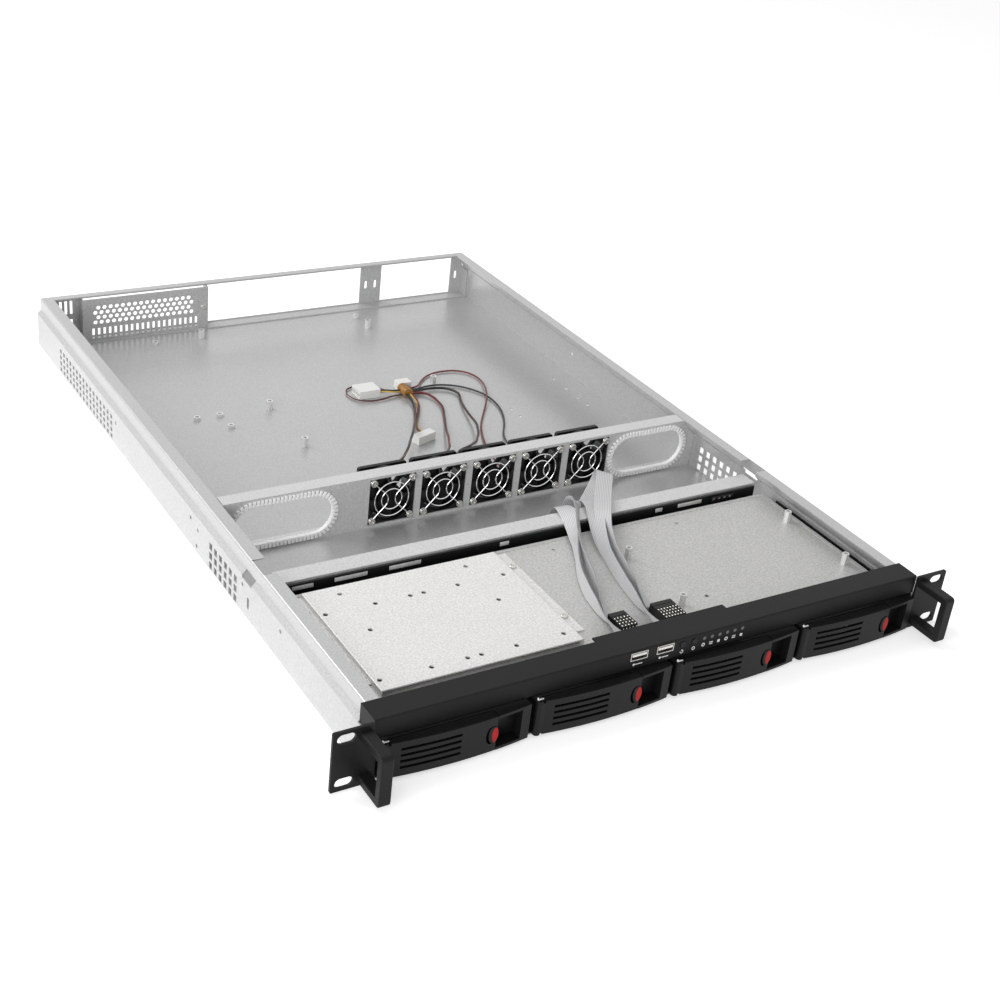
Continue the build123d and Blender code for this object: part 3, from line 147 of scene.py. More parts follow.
# The stage, in metres and watts
FLOOR_SIZE = 14
FLOOR_COLOUR = (0.93, 0.93, 0.93, 1)
FLOOR_GLOW = 0.50
WORLD_LEVEL = 0.42
STAGE_MIDDLE = (0, 0.3, 0)
LAMPS = (
    ("key", (-0.7, 1.3, 1.5), 1.2, 16.0),
    ("fill", (-1.9, -1.1, 0.75), 1.6, 37.0),
)


# Sizes and colours that a user would change

def colour(name, text, value):
    return FloatVectorProperty(name=name, description=text, default=value, size=3, min=0, max=1, subtype="COLOR")


def length(name, text, value):
    return FloatProperty(name=name, description=text, default=value, min=0.0, unit="LENGTH")


class CaseFinishes(bpy.types.PropertyGroup):
    """Colours of the case's metals and plastics."""
    zinc: colour("Zinc sheet", "Colour of the galvanised tray and walls", (0.535, 0.537, 0.539))
    # Painted light: the fan wall and the bracket are the same zinc as the tray, given a lighter colour for the
    # light that falls on them
    fold: colour("Folded walls", "Colour of the fan wall and the bracket", (0.66, 0.66, 0.66))
    plate: colour("Bay plate", "Colour of the sheet over the drive bays", (0.56, 0.557, 0.55))
    # Painted light: the raised drive plate is the same zinc as the bay plate, given a lighter colour for the light
    # that falls on it
    drive_plate: colour("Drive plate", "Colour of the raised plate with the drive holes", (0.80, 0.795, 0.785))
    paint: colour("Black paint", "Powder coat of the strip, ears and handles", (0.011, 0.011, 0.0115))
    black_plastic: colour("Tray plastic", "Moulded plastic of the drive trays", (0.007, 0.007, 0.0075))
    red_latch: colour("Latch", "Red plastic of the tray latches", (0.40, 0.014, 0.012))
    grommet: colour("Grommet", "Pale nylon of the cable way edging", (0.97, 0.97, 0.965))
    ribbon: colour("Ribbon", "Grey vinyl of the flat cables", (0.67, 0.67, 0.68))


class CaseSizes(bpy.types.PropertyGroup):
    """Sizes of the fine pieces."""
    guard_wire: length("Guard wire", "Thickness of the fan guard wire", 1.2 * MM)
    ribbon_width: length("Ribbon width", "Width of a flat cable", 12.7 * MM)
    ribbon_wires: IntProperty(name="Ribbon wires", description="Wires side by side in a flat cable", default=10)
    screw_head: length("Screw head", "Width of a screw head", 5.4 * MM)


# Routes of the cords, in millimetres

RIBBON_A = [
    (-22, 22, 38.2), (-22, 30, 38.2), (-21, 44, 37.5), (-18, 60, 37), (-13, 82, 37), (-5, 103, 37.2),
    (6, 122, 37.8), (15, 138, 38.4), (23, 153, 38.7), (30, 168, 38.7), (33, 183, 38.3), (33.8, 191, 31),
    (33.5, 192, 17.4), (38.6, 193.8, 12), (45.9, 196.2, 12), (51, 198, 17.4), (50.5, 197.5, 26),
    (47.5, 190.5, 37), (41, 178, 41.3), (32, 162, 41.5), (23, 146, 40.6), (13, 129, 38.5), (5, 109, 37.2),
    (-2, 89, 37), (-8, 72, 36), (-10, 60, 33.4), (-10, 51, 33.4),
]
SPREAD_A = [
    (-1, 0, 0), (-.85, 0, .5), (-.6, 0, .8), (-.2, 0, 1), (0, 0, 1), (0, 0, 1),
    (0, 0, 1), (.2, 0, .98), (.55, -.2, .8), (.85, -.3, .42), (1, -.1, 0), (1, 0, 0),
    (.5, .8, 0), (0, 1, 0), (0, 1, 0), (0, 1, 0), (-.7, .7, 0),
    (-1, .3, .3), (-.45, .2, .87), (-.3, .15, .94), (-.3, .2, .93), (-.2, .1, .97), (0, 0, 1),
    (0, 0, 1), (-.25, 0, .9), (-.8, 0, .5), (-1, 0, 0),
]
RIBBON_B = [
    (9, 22, 38.2), (9, 30, 38.2), (10, 43, 37.4), (13, 60, 37), (18.5, 86, 37), (26, 112, 37.4),
    (35, 136, 38.2), (45, 155, 38.6), (54, 172, 38.7), (57, 186, 38), (57.5, 194, 30), (57, 199, 20),
    (60, 206, 11), (69, 213, 6.5), (81, 220, 7), (91, 226, 13), (97, 228, 22.5), (97.5, 225, 31.5),
    (93, 216.5, 38.5), (85, 205, 41.7), (73, 189, 41.9), (60, 171, 41.9), (49, 154, 41.6), (42, 138, 39.4),
    (34, 115, 37.3), (27, 92, 37), (23, 73, 36), (22.5, 60, 33.4), (22.5, 51, 33.4),
]
SPREAD_B = [
    (-1, 0, 0), (-.85, 0, .5), (-.6, 0, .8), (-.2, 0, 1), (0, 0, 1), (.1, 0, 1),
    (.5, -.2, .84), (.75, -.4, .5), (.9, -.4, 0), (1, -.1, 0), (1, 0, 0), (.95, -.3, 0),
    (.7, -.7, 0), (.55, -.83, 0), (.5, -.85, 0), (.5, -.85, 0), (.5, -.85, 0), (.55, -.83, 0),
    (.6, -.75, 0), (.75, -.65, 0), (.8, -.6, 0), (.8, -.6, .1), (.7, -.4, .5), (.3, -.2, .9),
    (0, 0, 1), (0, 0, 1), (-.25, 0, .9), (-.8, 0, .5), (-1, 0, 0),
]
LEADS = {
    "fan_lead_1": ([
        (-50, 281, 32.8), (-50, 288, 32.8), (-41, 298, 31), (-28, 313, 26), (-8, 341, 22), (16, 378, 14),
        (33, 408, 6), (43, 428, 3.2), (46, 439, 4), (46, 448, 4),
    ], ("black", "black", "brown")),
    "fan_lead_2": ([
        (-6.2, 281, 32.8), (-6.2, 288, 32.8), (2, 300, 30), (18, 323, 20), (38, 360, 9), (50, 386, 3.4),
        (61, 407, 2.8), (67, 422, 2.8), (68, 436, 2.9), (65, 446, 3.2), (59, 450, 3.6), (53, 450, 3.6),
    ], ("dark red", "dark red", "black")),
    "fan_lead_3": ([
        (3.5, 281, 32.8), (3.5, 289, 32.8), (13, 298, 31), (28, 308, 27), (45, 326, 19), (63, 353, 12),
        (75, 378, 7), (80, 400, 3.6), (86, 422, 2.8), (94, 439, 2.8), (88, 451, 3), (76, 454.5, 3.2),
        (64.5, 453.7, 3.6), (53, 453.7, 3.6),
    ], ("black", "brown", "black")),
    "fan_lead_4": ([
        (47, 281, 12), (47, 288, 12), (52, 301, 8), (60, 325, 3.6), (68, 352, 2.4), (80, 378, 2.4),
        (97, 401, 2.4), (110, 418, 4.8), (119, 436, 4.8), (126, 453, 2.4), (126, 470, 2.4),
        (116, 482, 2.4), (99, 485, 2.4), (84, 481, 2.4), (73, 472, 2.6), (66.5, 464, 3), (60, 460.2, 3.4),
        (53, 460.2, 3.4),
    ], ("dark red",)),
    "fan_lead_5": ([
        (91, 281, 12), (91, 288, 12), (86, 301, 8), (82, 325, 3.6), (87, 353, 2.4), (104, 377, 2.4),
        (115, 403, 2.4), (116, 430, 2.4), (104, 450, 2.4), (88, 460, 2.4), (73, 461, 2.6), (61.5, 457, 3.4),
        (53, 457, 3.4),
    ], ("black",)),
    "feed_lead": ([
        (43, 459.5, 3), (38.5, 459.5, 3), (34, 464, 2.8), (30, 472, 2.4), (22, 479, 2.4), (10, 481, 2.4),
        (1, 477, 2.4), (-2, 467, 2.4), (1, 456, 2.4), (10, 450, 2.4), (21, 449, 2.4), (34.5, 452, 3),
        (43, 452, 3),
    ], ("dark red", "black")),
    "sensor_lead": ([
        (25.02, 376.35, 4.6), (22.84, 383.06, 4.6), (26, 393, 4), (34, 406, 3.2), (43, 420, 2.8), (49, 432, 3.4),
        (50, 441, 4), (50, 448, 4),
    ], ("yellow", "dark red", "brown")),
}
POWER_LEAD = [(43, 456, 4.8), (37, 456, 4.8), (31, 460, 4.8), (25, 460, 4.8)]
LEAD_WIDTH = 2.4
OTHER_WIDTHS = {"fan_lead_4": 1.6, "fan_lead_5": 1.6, "feed_lead": 1.6, "sensor_lead": 2.9}
POWER_LEAD_WIDTH = 3.0
# A lead's width over the radius of one of its wires, by their number
WIRE_SHARE = {1: 2, 2: 4, 3: 4.3}
WIRE_SIDES = 8
# Turn of the wires round each other, in radians a metre
TWIST = 55.0
ROUTE_STEPS = 8
# A flat cable's half thickness between its wires, and how far each wire stands out
RIBBON_WEB = 0.28
RIBBON_RISE = 0.17
COLUMNS_PER_WIRE = 4


# Modelling helpers

def only(piece):
    """Select one piece alone and make it active, in object mode."""
    if bpy.context.object and bpy.context.object.mode != "OBJECT":
        bpy.ops.object.mode_set(mode="OBJECT")
    bpy.ops.object.select_all(action="DESELECT")
    piece.select_set(True)
    bpy.context.view_layer.objects.active = piece


def started(name):
    """Name the object that an add operator has just made."""
    piece = bpy.context.object
    piece.name = name
    piece.data.name = name
    return piece


def fresh():
    """Leave nothing selected before a primitive is added."""
    if bpy.context.object and bpy.context.object.mode != "OBJECT":
        bpy.ops.object.mode_set(mode="OBJECT")
    bpy.ops.object.select_all(action="DESELECT")


def edit(piece, kind, test):
    """Enter edit mode with only the faces or edges that pass the test selected."""
    only(piece)
    bpy.ops.object.mode_set(mode="EDIT")
    bpy.ops.mesh.select_mode(type=kind)
    bpy.ops.mesh.select_all(action="DESELECT")
    mesh = bmesh.from_edit_mesh(piece.data)
    mesh.normal_update()
    for item in mesh.faces if kind == "FACE" else mesh.edges:
        item.select_set(bool(test(item)))
    bmesh.update_edit_mesh(piece.data)


def done():
    """Leave edit mode."""
    bpy.ops.object.mode_set(mode="OBJECT")


def settle(piece):
    """Put a piece's place, turn and scale into its mesh."""
    only(piece)
    bpy.ops.object.transform_apply(location=True, rotation=True, scale=True)
    return piece


def tidy_normals(piece):
    """Merge the points that meet and turn every face outwards."""
    only(piece)
    bpy.ops.object.mode_set(mode="EDIT")
    bpy.ops.mesh.select_all(action="SELECT")
    bpy.ops.mesh.remove_doubles(threshold=1e-6)
    bpy.ops.mesh.normals_make_consistent(inside=False)
    done()


def copied(piece, name, matrix):
    """A copy of a piece with its own mesh, moved by a matrix."""
    twin = piece.copy()
    twin.data = piece.data.copy()
    twin.data.transform(matrix)
    twin.name = name
    bpy.context.collection.objects.link(twin)
    return twin


def joined(pieces, name):
    """One object of several pieces."""
    only(pieces[0])
    for piece in pieces[1:]:
        piece.select_set(True)
    if len(pieces) > 1:
        bpy.ops.object.join()
    whole = bpy.context.object
    whole.name = name
    whole.data.name = name
    return whole


def discard(piece):
    bpy.data.objects.remove(piece, do_unlink=True)


def dress(piece, *names):
    """Give a piece its materials, by name."""
    piece.data.materials.clear()
    for name in names:
        piece.data.materials.append(bpy.data.materials[name])


def hand_over(piece, body=CHASSIS, smooth=35):
    """Finish a piece: shading and the body it rides on."""
    settle(piece)
    if smooth:
        bpy.ops.object.shade_smooth_by_angle(angle=math.radians(smooth))
    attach(piece, body)


def block(name, size, centre, bevel=0.0, segments=1):
    """A block of a size at a place, with its edges bevelled."""
    fresh()
    bpy.ops.mesh.primitive_cube_add(size=1, location=[v * MM for v in centre])
    piece = started(name)
    piece.scale = [v * MM for v in size]
    settle(piece)
    if bevel:
        edit(piece, "EDGE", lambda edge: True)
        bpy.ops.mesh.bevel(offset=bevel * MM, segments=segments, affect="EDGES")
        done()
    return piece


def wire(name, points, width, closed=False):
    """A round wire along points, as a mesh."""
    curve = bpy.data.curves.new(name, "CURVE")
    curve.dimensions = "3D"
    spline = curve.splines.new("POLY")
    spline.points.add(len(points) - 1)
    for point, place in zip(spline.points, points):
        point.co = (*[v * MM for v in place], 1)
    spline.use_cyclic_u = closed
    curve.bevel_depth = width / 2
    curve.bevel_resolution = 1
    curve.use_fill_caps = not closed
    piece = bpy.data.objects.new(name, curve)
    bpy.context.collection.objects.link(piece)
    only(piece)
    bpy.ops.object.convert(target="MESH")
    return bpy.context.object


def circle(radius, steps, depth, x=0.0, z=FAN_MIDDLE):
    """Points round a circle that looks along y."""
    turns = [2 * math.pi * s / steps for s in range(steps)]
    return [(x + radius * math.cos(turn), depth, z + radius * math.sin(turn)) for turn in turns]


# Materials

def add_group(name, inputs, outputs):
    """An empty node group with its sockets and its in and out nodes."""
    tree = bpy.data.node_groups.new(name, "ShaderNodeTree")
    for label, kind, value in inputs:
        socket = tree.interface.new_socket(label, in_out="INPUT", socket_type=kind)
        if value is not None:
            socket.default_value = value
    for label, kind in outputs:
        tree.interface.new_socket(label, in_out="OUTPUT", socket_type=kind)
    return tree, tree.nodes.new("NodeGroupInput"), tree.nodes.new("NodeGroupOutput")


def node(tree, kind, links=(), **values):
    """A node with its properties set and its sockets set or linked."""
    made = tree.nodes.new(kind)
    for key, value in values.items():
        setattr(made, key, value)
    for socket, value in links:
        target = made.inputs[socket]
        if isinstance(value, bpy.types.NodeSocket):
            tree.links.new(value, target)
        else:
            target.default_value = value
    return made


def reckon(tree, operation, *values):
    """The result of a math node over numbers and sockets."""
    return node(tree, "ShaderNodeMath", enumerate(values), operation=operation).outputs[0]


def grain_group():
    """Fine grain over broad clouds: a colour, a roughness and a height."""
    tree, inside, outside = add_group(
        "Grain",
        [
            ("Vector", "NodeSocketVector", None),
            ("Color", "NodeSocketColor", (0.6, 0.6, 0.6, 1)),
            ("Grain scale", "NodeSocketFloat", 1400.0),
            ("Grain depth", "NodeSocketFloat", 0.3),
            ("Cloud scale", "NodeSocketFloat", 14.0),
            ("Cloud depth", "NodeSocketFloat", 0.1),
            ("Roughness", "NodeSocketFloat", 0.4),
            ("Roughness depth", "NodeSocketFloat", 0.1),
        ],
        [("Color", "NodeSocketColor"), ("Roughness", "NodeSocketFloat"), ("Height", "NodeSocketFloat")],
    )
    i = inside.outputs
    noises = []
    for scale, detail in (("Grain scale", 2.0), ("Cloud scale", 3.0)):
        links = [("Vector", i["Vector"]), ("Scale", i[scale]), ("Detail", detail)]
        noises.append(node(tree, "ShaderNodeTexNoise", links).outputs[0])
    fine, broad = noises
    centred = reckon(tree, "SUBTRACT", fine, 0.5)
    grain = reckon(tree, "MULTIPLY", centred, i["Grain depth"])
    clouds = reckon(tree, "MULTIPLY", reckon(tree, "SUBTRACT", broad, 0.5), i["Cloud depth"])
    level = reckon(tree, "ADD", reckon(tree, "ADD", grain, clouds), 1.0)
    tint = node(tree, "ShaderNodeVectorMath", [(0, i["Color"]), ("Scale", level)], operation="SCALE")
    swing = reckon(tree, "MULTIPLY", centred, i["Roughness depth"])
    rough = reckon(tree, "ADD", swing, i["Roughness"])
    tree.links.new(tint.outputs[0], outside.inputs["Color"])
    tree.links.new(rough, outside.inputs["Roughness"])
    tree.links.new(fine, outside.inputs["Height"])


def skin(name, tint, roughness, grain, metallic=0.0, scale=1400.0, clouds=0.1, cloud_scale=14.0, bump=0.1,
         bump_depth=0.00005, swing=0.1, **sockets):
    """A material of one finish, with grain in its colour, roughness and height."""
    material = bpy.data.materials.new(name)
    material.use_nodes = True
    tree = material.node_tree
    shader = tree.nodes["Principled BSDF"]
    place = node(tree, "ShaderNodeTexCoord").outputs["Object"]
    body = node(tree, "ShaderNodeGroup", node_tree=bpy.data.node_groups["Grain"])
    for label, value in (
        ("Color", (*tint, 1)), ("Grain scale", scale), ("Grain depth", grain), ("Cloud scale", cloud_scale),
        ("Cloud depth", clouds), ("Roughness", roughness), ("Roughness depth", swing),
    ):
        body.inputs[label].default_value = value
    tree.links.new(place, body.inputs["Vector"])
    tree.links.new(body.outputs["Color"], shader.inputs["Base Color"])
    tree.links.new(body.outputs["Roughness"], shader.inputs["Roughness"])
    if bump:
        relief = node(tree, "ShaderNodeBump", [("Height", body.outputs["Height"]), ("Strength", bump),
                                               ("Distance", bump_depth)])
        tree.links.new(relief.outputs["Normal"], shader.inputs["Normal"])
    shader.inputs["Metallic"].default_value = metallic
    for label, value in sockets.items():
        shader.inputs[label.replace("_", " ")].default_value = value
    return material


def ribbon_skin(name, tint, wires):
    """Ribbon vinyl, with painted shade darkening the grooves between the wires, across the strip's own map."""
    material = skin(name, tint, 0.42, 0.06, clouds=0.12, cloud_scale=40.0)
    tree = material.node_tree
    shader = tree.nodes["Principled BSDF"]
    before = shader.inputs["Base Color"].links[0].from_socket
    across = node(tree, "ShaderNodeSeparateXYZ", [(0, node(tree, "ShaderNodeTexCoord").outputs["UV"])])
    # Painted shade: the colour darkens towards each groove between the wires
    wave = reckon(tree, "PINGPONG", reckon(tree, "MULTIPLY", across.outputs[0], float(wires)), 0.5)
    groove_shade = node(tree, "ShaderNodeMapRange", [("Value", wave), ("From Max", 0.22), ("To Min", 0.45)])
    shade = node(tree, "ShaderNodeVectorMath", [(0, before), ("Scale", groove_shade.outputs[0])], operation="SCALE")
    tree.links.new(shade.outputs[0], shader.inputs["Base Color"])


def latch_skin(name, tint, dark):
    """Latch plastic: dark, with a red lens on the latch of each bay."""
    material = skin(name, tint, 0.35, 0.15, clouds=0.3, cloud_scale=300.0, Specular_IOR_Level=0.18)
    tree = material.node_tree
    shader = tree.nodes["Principled BSDF"]
    before = shader.inputs["Base Color"].links[0].from_socket
    place = node(tree, "ShaderNodeSeparateXYZ", [(0, node(tree, "ShaderNodeTexCoord").outputs["Object"])])
    middle, height, half_width, half_height = LENS
    half_bay = (BAYS[1] - BAYS[0]) / 2 * MM
    shift = reckon(tree, "SUBTRACT", place.outputs[0], BAYS[2] * MM + middle * MM)
    across = reckon(tree, "DIVIDE", reckon(tree, "WRAP", shift, half_bay, -half_bay), half_width * MM)
    along = reckon(tree, "DIVIDE", reckon(tree, "SUBTRACT", place.outputs[2], height * MM), half_height * MM)
    both = node(tree, "ShaderNodeCombineXYZ", [(0, across), (1, along)])
    reach = node(tree, "ShaderNodeVectorMath", [(0, both.outputs[0])], operation="LENGTH")
    lens = node(tree, "ShaderNodeMapRange", [
        ("Value", reach.outputs["Value"]), ("From Min", 0.9), ("From Max", 1.05), ("To Min", 1.0), ("To Max", 0.0),
    ])
    links = [("Factor", lens.outputs[0]), (6, (*dark, 1)), (7, before)]
    tone = node(tree, "ShaderNodeMix", links, data_type="RGBA")
    tree.links.new(tone.outputs[2], shader.inputs["Base Color"])


def make_materials(finishes, ribbon_wires):
    """Every finish of the case, from the user's colours."""
    grain_group()
    zinc = tuple(finishes.zinc)
    paint = tuple(finishes.paint)
    moulded = tuple(finishes.black_plastic)
    skin("Zinc sheet", zinc, 0.29, 0.5, metallic=0.42, scale=760.0, clouds=0.08, swing=0.05, bump=0.015)
    # Painted light: the lighter fold colour stands in for the light on the fan wall and the bracket
    skin("Fold zinc with painted light", tuple(finishes.fold), 0.34, 0.5, metallic=0.3, scale=760.0, clouds=0.08, swing=0.05,
         bump=0.03)
    skin("Bay sheet", tuple(finishes.plate), 0.46, 0.9, metallic=0.35, scale=760.0, clouds=0.06, swing=0.3,
         bump=0.15)
    # Painted light: the lighter drive plate colour stands in for the light on the raised plate
    skin("Drive sheet with painted light", tuple(finishes.drive_plate), 0.46, 0.7, metallic=0.3, scale=760.0, clouds=0.05, swing=0.3,
         bump=0.15)
    skin("Folded zinc", zinc, 0.38, 0.6, metallic=0.25, scale=760.0, clouds=0.14, swing=0.2, bump=0.1)
    skin("Powder coat", paint, 0.45, 0.8, scale=900.0, clouds=0.2, swing=0.3, bump=0.4, bump_depth=0.0001,
         Specular_IOR_Level=0.14)
    skin("Tray plastic", moulded, 0.42, 0.6, scale=1100.0, clouds=0.25, swing=0.2, bump=0.3, bump_depth=0.0001,
         Specular_IOR_Level=0.18)
    skin("Fan plastic", (0.006, 0.006, 0.006), 0.35, 0.2, bump=0.05, Specular_IOR_Level=0.25)
    skin("Board", (0.006, 0.007, 0.006), 0.35, 0.3, scale=500.0, bump=0.1, Specular_IOR_Level=0.25)
    skin("Socket plastic", (0.007, 0.007, 0.007), 0.4, 0.3, bump=0.1, Specular_IOR_Level=0.25)
    skin("Bright wire", (0.72, 0.72, 0.73), 0.2, 0.1, metallic=1.0, swing=0.1)
    skin("Plated steel", (0.66, 0.65, 0.62), 0.28, 0.2, metallic=1.0, scale=900.0, swing=0.2)
    skin("Bright steel", (0.80, 0.80, 0.79), 0.3, 0.2, metallic=0.45, scale=900.0, swing=0.2)
    skin("Grommet nylon", tuple(finishes.grommet), 0.45, 0.08, clouds=0.06, bump=0.05)
    latch_skin("Latch plastic", tuple(finishes.red_latch), moulded)
    skin("Lamp plastic", (0.055, 0.055, 0.06), 0.2, 0.1, Coat_Weight=0.3)
    skin("Plug nylon", (0.86, 0.86, 0.84), 0.4, 0.06, bump=0.05)
    skin("Tie", (0.40, 0.20, 0.05), 0.3, 0.25, scale=700.0, clouds=0.5, cloud_scale=250.0)
    skin("Mark white", (0.85, 0.85, 0.85), 0.5, 0.1)
    skin("Contact", (0.78, 0.76, 0.70), 0.25, 0.1, metallic=0.8)
    # Painted light: a pale mottled colour that stands in for the lit bracket seen through the board's windows
    skin("Painted window light", (0.66, 0.66, 0.65), 0.35, 0.5, metallic=0.2, scale=700.0, clouds=0.5, cloud_scale=220.0)
    for name, tint in (("black", (0.012, 0.012, 0.013)), ("dark red", (0.15, 0.012, 0.013)),
                       ("brown", (0.10, 0.035, 0.015)), ("yellow", (0.66, 0.45, 0.10))):
        skin("Wire " + name, tint, 0.35, 0.15, clouds=0.2, cloud_scale=60.0, bump=0.03)
    ribbon_skin("Ribbon", tuple(finishes.ribbon), ribbon_wires)


NODE_FINISH = {
    "Zinc sheet": ["base_tray"],
    # Painted light: the fan wall and the bracket get a lighter copy of the zinc
    "Fold zinc with painted light": ["fan_wall", "backplane_bracket"],
    "Folded zinc": ["rear_panel", "riser_panel", "bay_dividers"],
    "Bay sheet": ["bay_plate"],
    # Painted light: the raised plate gets a lighter copy of the zinc
    "Drive sheet with painted light": ["drive_plate"],
    "Powder coat": ["bezel", "rack_ear_left", "rack_ear_right", "handle_left", "handle_right"],
    "Tray plastic": [f"{kind}_{i}" for kind in ("drive_tray", "tray_lever") for i in range(1, 5)],
    "Fan plastic": [f"{kind}_{i}" for kind in ("fan_frame", "fan_rotor") for i in range(1, 6)],
    "Board": ["backplane_board", "control_board"],
    "Socket plastic": ["backplane_sockets", "header_plug_a", "header_plug_b", "power_button", "reset_button"],
    "Latch plastic": [f"tray_latch_{i}" for i in range(1, 5)],
    "Lamp plastic": ["indicator_lamps"],
    "Bright steel": ["standoffs"],
    "Plated steel": ["usb_sockets"],
    "Plug nylon": ["power_plugs"],
}


# Cords

def follow(name, route):
    """Points read from the smooth spline of a route, in metres."""
    curve = bpy.data.curves.new(name, "CURVE")
    curve.dimensions = "3D"
    curve.resolution_u = ROUTE_STEPS
    spline = curve.splines.new("NURBS")
    spline.points.add(len(route) - 1)
    for point, place in zip(spline.points, route):
        point.co = (*[v * MM for v in place], 1)
    spline.order_u = 3
    spline.use_endpoint_u = True
    guide = bpy.data.objects.new(name, curve)
    bpy.context.collection.objects.link(guide)
    bpy.context.view_layer.update()
    mesh = bpy.data.meshes.new_from_object(guide)
    points = [v.co.copy() for v in mesh.vertices]
    bpy.data.meshes.remove(mesh)
    discard(guide)
    return points


def run_length(points):
    """Length of the line through points."""
    return sum((b - a).length for a, b in zip(points, points[1:]))


def headings(points):
    """Unit direction of the line at each of its points."""
    ends = [points[0]] + points + [points[-1]]
    return [(ends[i + 2] - ends[i]).normalized() for i in range(len(points))]


def ribbon_piece(name, route, spreads, width, wires):
    """A flat cable along a route: a ridged strip, its width turned to the way given at each route point."""
    points = follow(name, route)
    spans = len(route) - 2
    marks = [0.0] + [k - 0.5 for k in range(1, len(route) - 1)] + [float(spans)]
    rings = []
    columns = wires * COLUMNS_PER_WIRE
    for i, (point, heading) in enumerate(zip(points, headings(points))):
        u = spans * i / (len(points) - 1)
        k = max(j for j in range(len(marks) - 1) if marks[j] <= u)
        t = (u - marks[k]) / (marks[k + 1] - marks[k])
        way = Vector(spreads[k]).normalized().lerp(Vector(spreads[k + 1]).normalized(), t)
        way = (way - way.dot(heading) * heading).normalized()
        up = heading.cross(way)
        ring = []
        for side in (1, -1):
            for step in range(columns + 1):
                c = step if side > 0 else columns - step
                ridge = RIBBON_WEB + RIBBON_RISE * abs(math.sin(math.pi * c / COLUMNS_PER_WIRE))
                ring.append(point + way * (width * (c / columns - 0.5)) + up * (side * ridge * MM))
        rings.append(ring)
    count = len(rings[0])
    verts = [v for ring in rings for v in ring]
    faces = []
    for r in range(len(rings) - 1):
        a, b = r * count, (r + 1) * count
        for c in range(count):
            d = (c + 1) % count
            faces.append((a + c, a + d, b + d, b + c))
    faces.append(tuple(range(count))[::-1])
    faces.append(tuple(range(len(verts) - count, len(verts))))
    mesh = bpy.data.meshes.new(name)
    mesh.from_pydata(verts, [], faces)
    layer = mesh.uv_layers.new(name="UVMap")
    for face in mesh.polygons:
        for loop in face.loop_indices:
            vertex = mesh.loops[loop].vertex_index
            c = vertex % count
            c = c if c <= columns else 2 * columns + 1 - c
            layer.data[loop].uv = (c / columns, (vertex // count) / len(rings))
    piece = bpy.data.objects.new(name, mesh)
    bpy.context.collection.objects.link(piece)
    tidy_normals(piece)
    return piece, points


def strand_piece(name, route, tints, width):
    """A lead of one or more round wires laid together along a route."""
    points = follow(name, route)
    ways = headings(points)
    across = ways[0].orthogonal().normalized()
    frames = []
    for way in ways:
        across = (across - across.dot(way) * way).normalized()
        frames.append((across.copy(), way.cross(across)))
    count = len(tints)
    radius = width / WIRE_SHARE[count]
    offset = width / 2 - radius
    verts = []
    faces = []
    tones = []
    travelled = 0.0
    turns = []
    for i, point in enumerate(points):
        if i:
            travelled += (point - points[i - 1]).length
        turns.append(travelled * TWIST)
    for strand in range(count):
        base = len(verts)
        for i, point in enumerate(points):
            first, second = frames[i]
            angle = turns[i] + 2 * math.pi * strand / count
            centre = point + offset * (math.cos(angle) * first + math.sin(angle) * second)
            for s in range(WIRE_SIDES):
                a = 2 * math.pi * s / WIRE_SIDES
                verts.append(centre + radius * (math.cos(a) * first + math.sin(a) * second))
        for i in range(len(points) - 1):
            for s in range(WIRE_SIDES):
                n = (s + 1) % WIRE_SIDES
                a, b = base + i * WIRE_SIDES, base + (i + 1) * WIRE_SIDES
                faces.append((a + s, a + n, b + n, b + s))
                tones.append(strand)
        last = base + (len(points) - 1) * WIRE_SIDES
        faces.append(tuple(base + s for s in range(WIRE_SIDES))[::-1])
        faces.append(tuple(last + s for s in range(WIRE_SIDES)))
        tones += [strand, strand]
    mesh = bpy.data.meshes.new(name)
    mesh.from_pydata(verts, [], faces)
    piece = bpy.data.objects.new(name, mesh)
    bpy.context.collection.objects.link(piece)
    dress(piece, *["Wire " + tint for tint in tints])
    mesh.polygons.foreach_set("material_index", tones)
    tidy_normals(piece)
    return piece, points


def declare(piece, points, width):
    """Work out a cord's start, run length and points, and keep none of them."""
    tuple(points[0])
    round(run_length(points), 3)
    [tuple(p) for p in points]


class CASE_OT_camera(bpy.types.Operator):
    """Set the camera at the photograph's place"""
    bl_idname = "server_case.camera"
    bl_label = "Camera"

    def execute(self, context):
        fresh()
        bpy.ops.object.camera_add(location=CAMERA_PLACE, rotation=[math.radians(a) for a in CAMERA_TURN])
        camera = started("camera")
        camera.data.sensor_width = CAMERA_SENSOR
        camera.data.lens = CAMERA_LENS
        camera.data.clip_start = 0.01
        context.scene.camera = camera
        return {"FINISHED"}


class CASE_OT_ribbons(bpy.types.Operator):
    """Make the two flat cables"""
    bl_idname = "server_case.ribbons"
    bl_label = "Flat cables"

    def execute(self, context):
        sizes = context.scene.case_sizes
        for name, route, spreads in (("ribbon_a", RIBBON_A, SPREAD_A), ("ribbon_b", RIBBON_B, SPREAD_B)):
            piece, points = ribbon_piece(name + "_strip", route, spreads, sizes.ribbon_width, sizes.ribbon_wires)
            dress(piece, "Ribbon")
            hand_over(piece, smooth=60)
            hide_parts(name)
            declare(piece, points, sizes.ribbon_width)
        return {"FINISHED"}


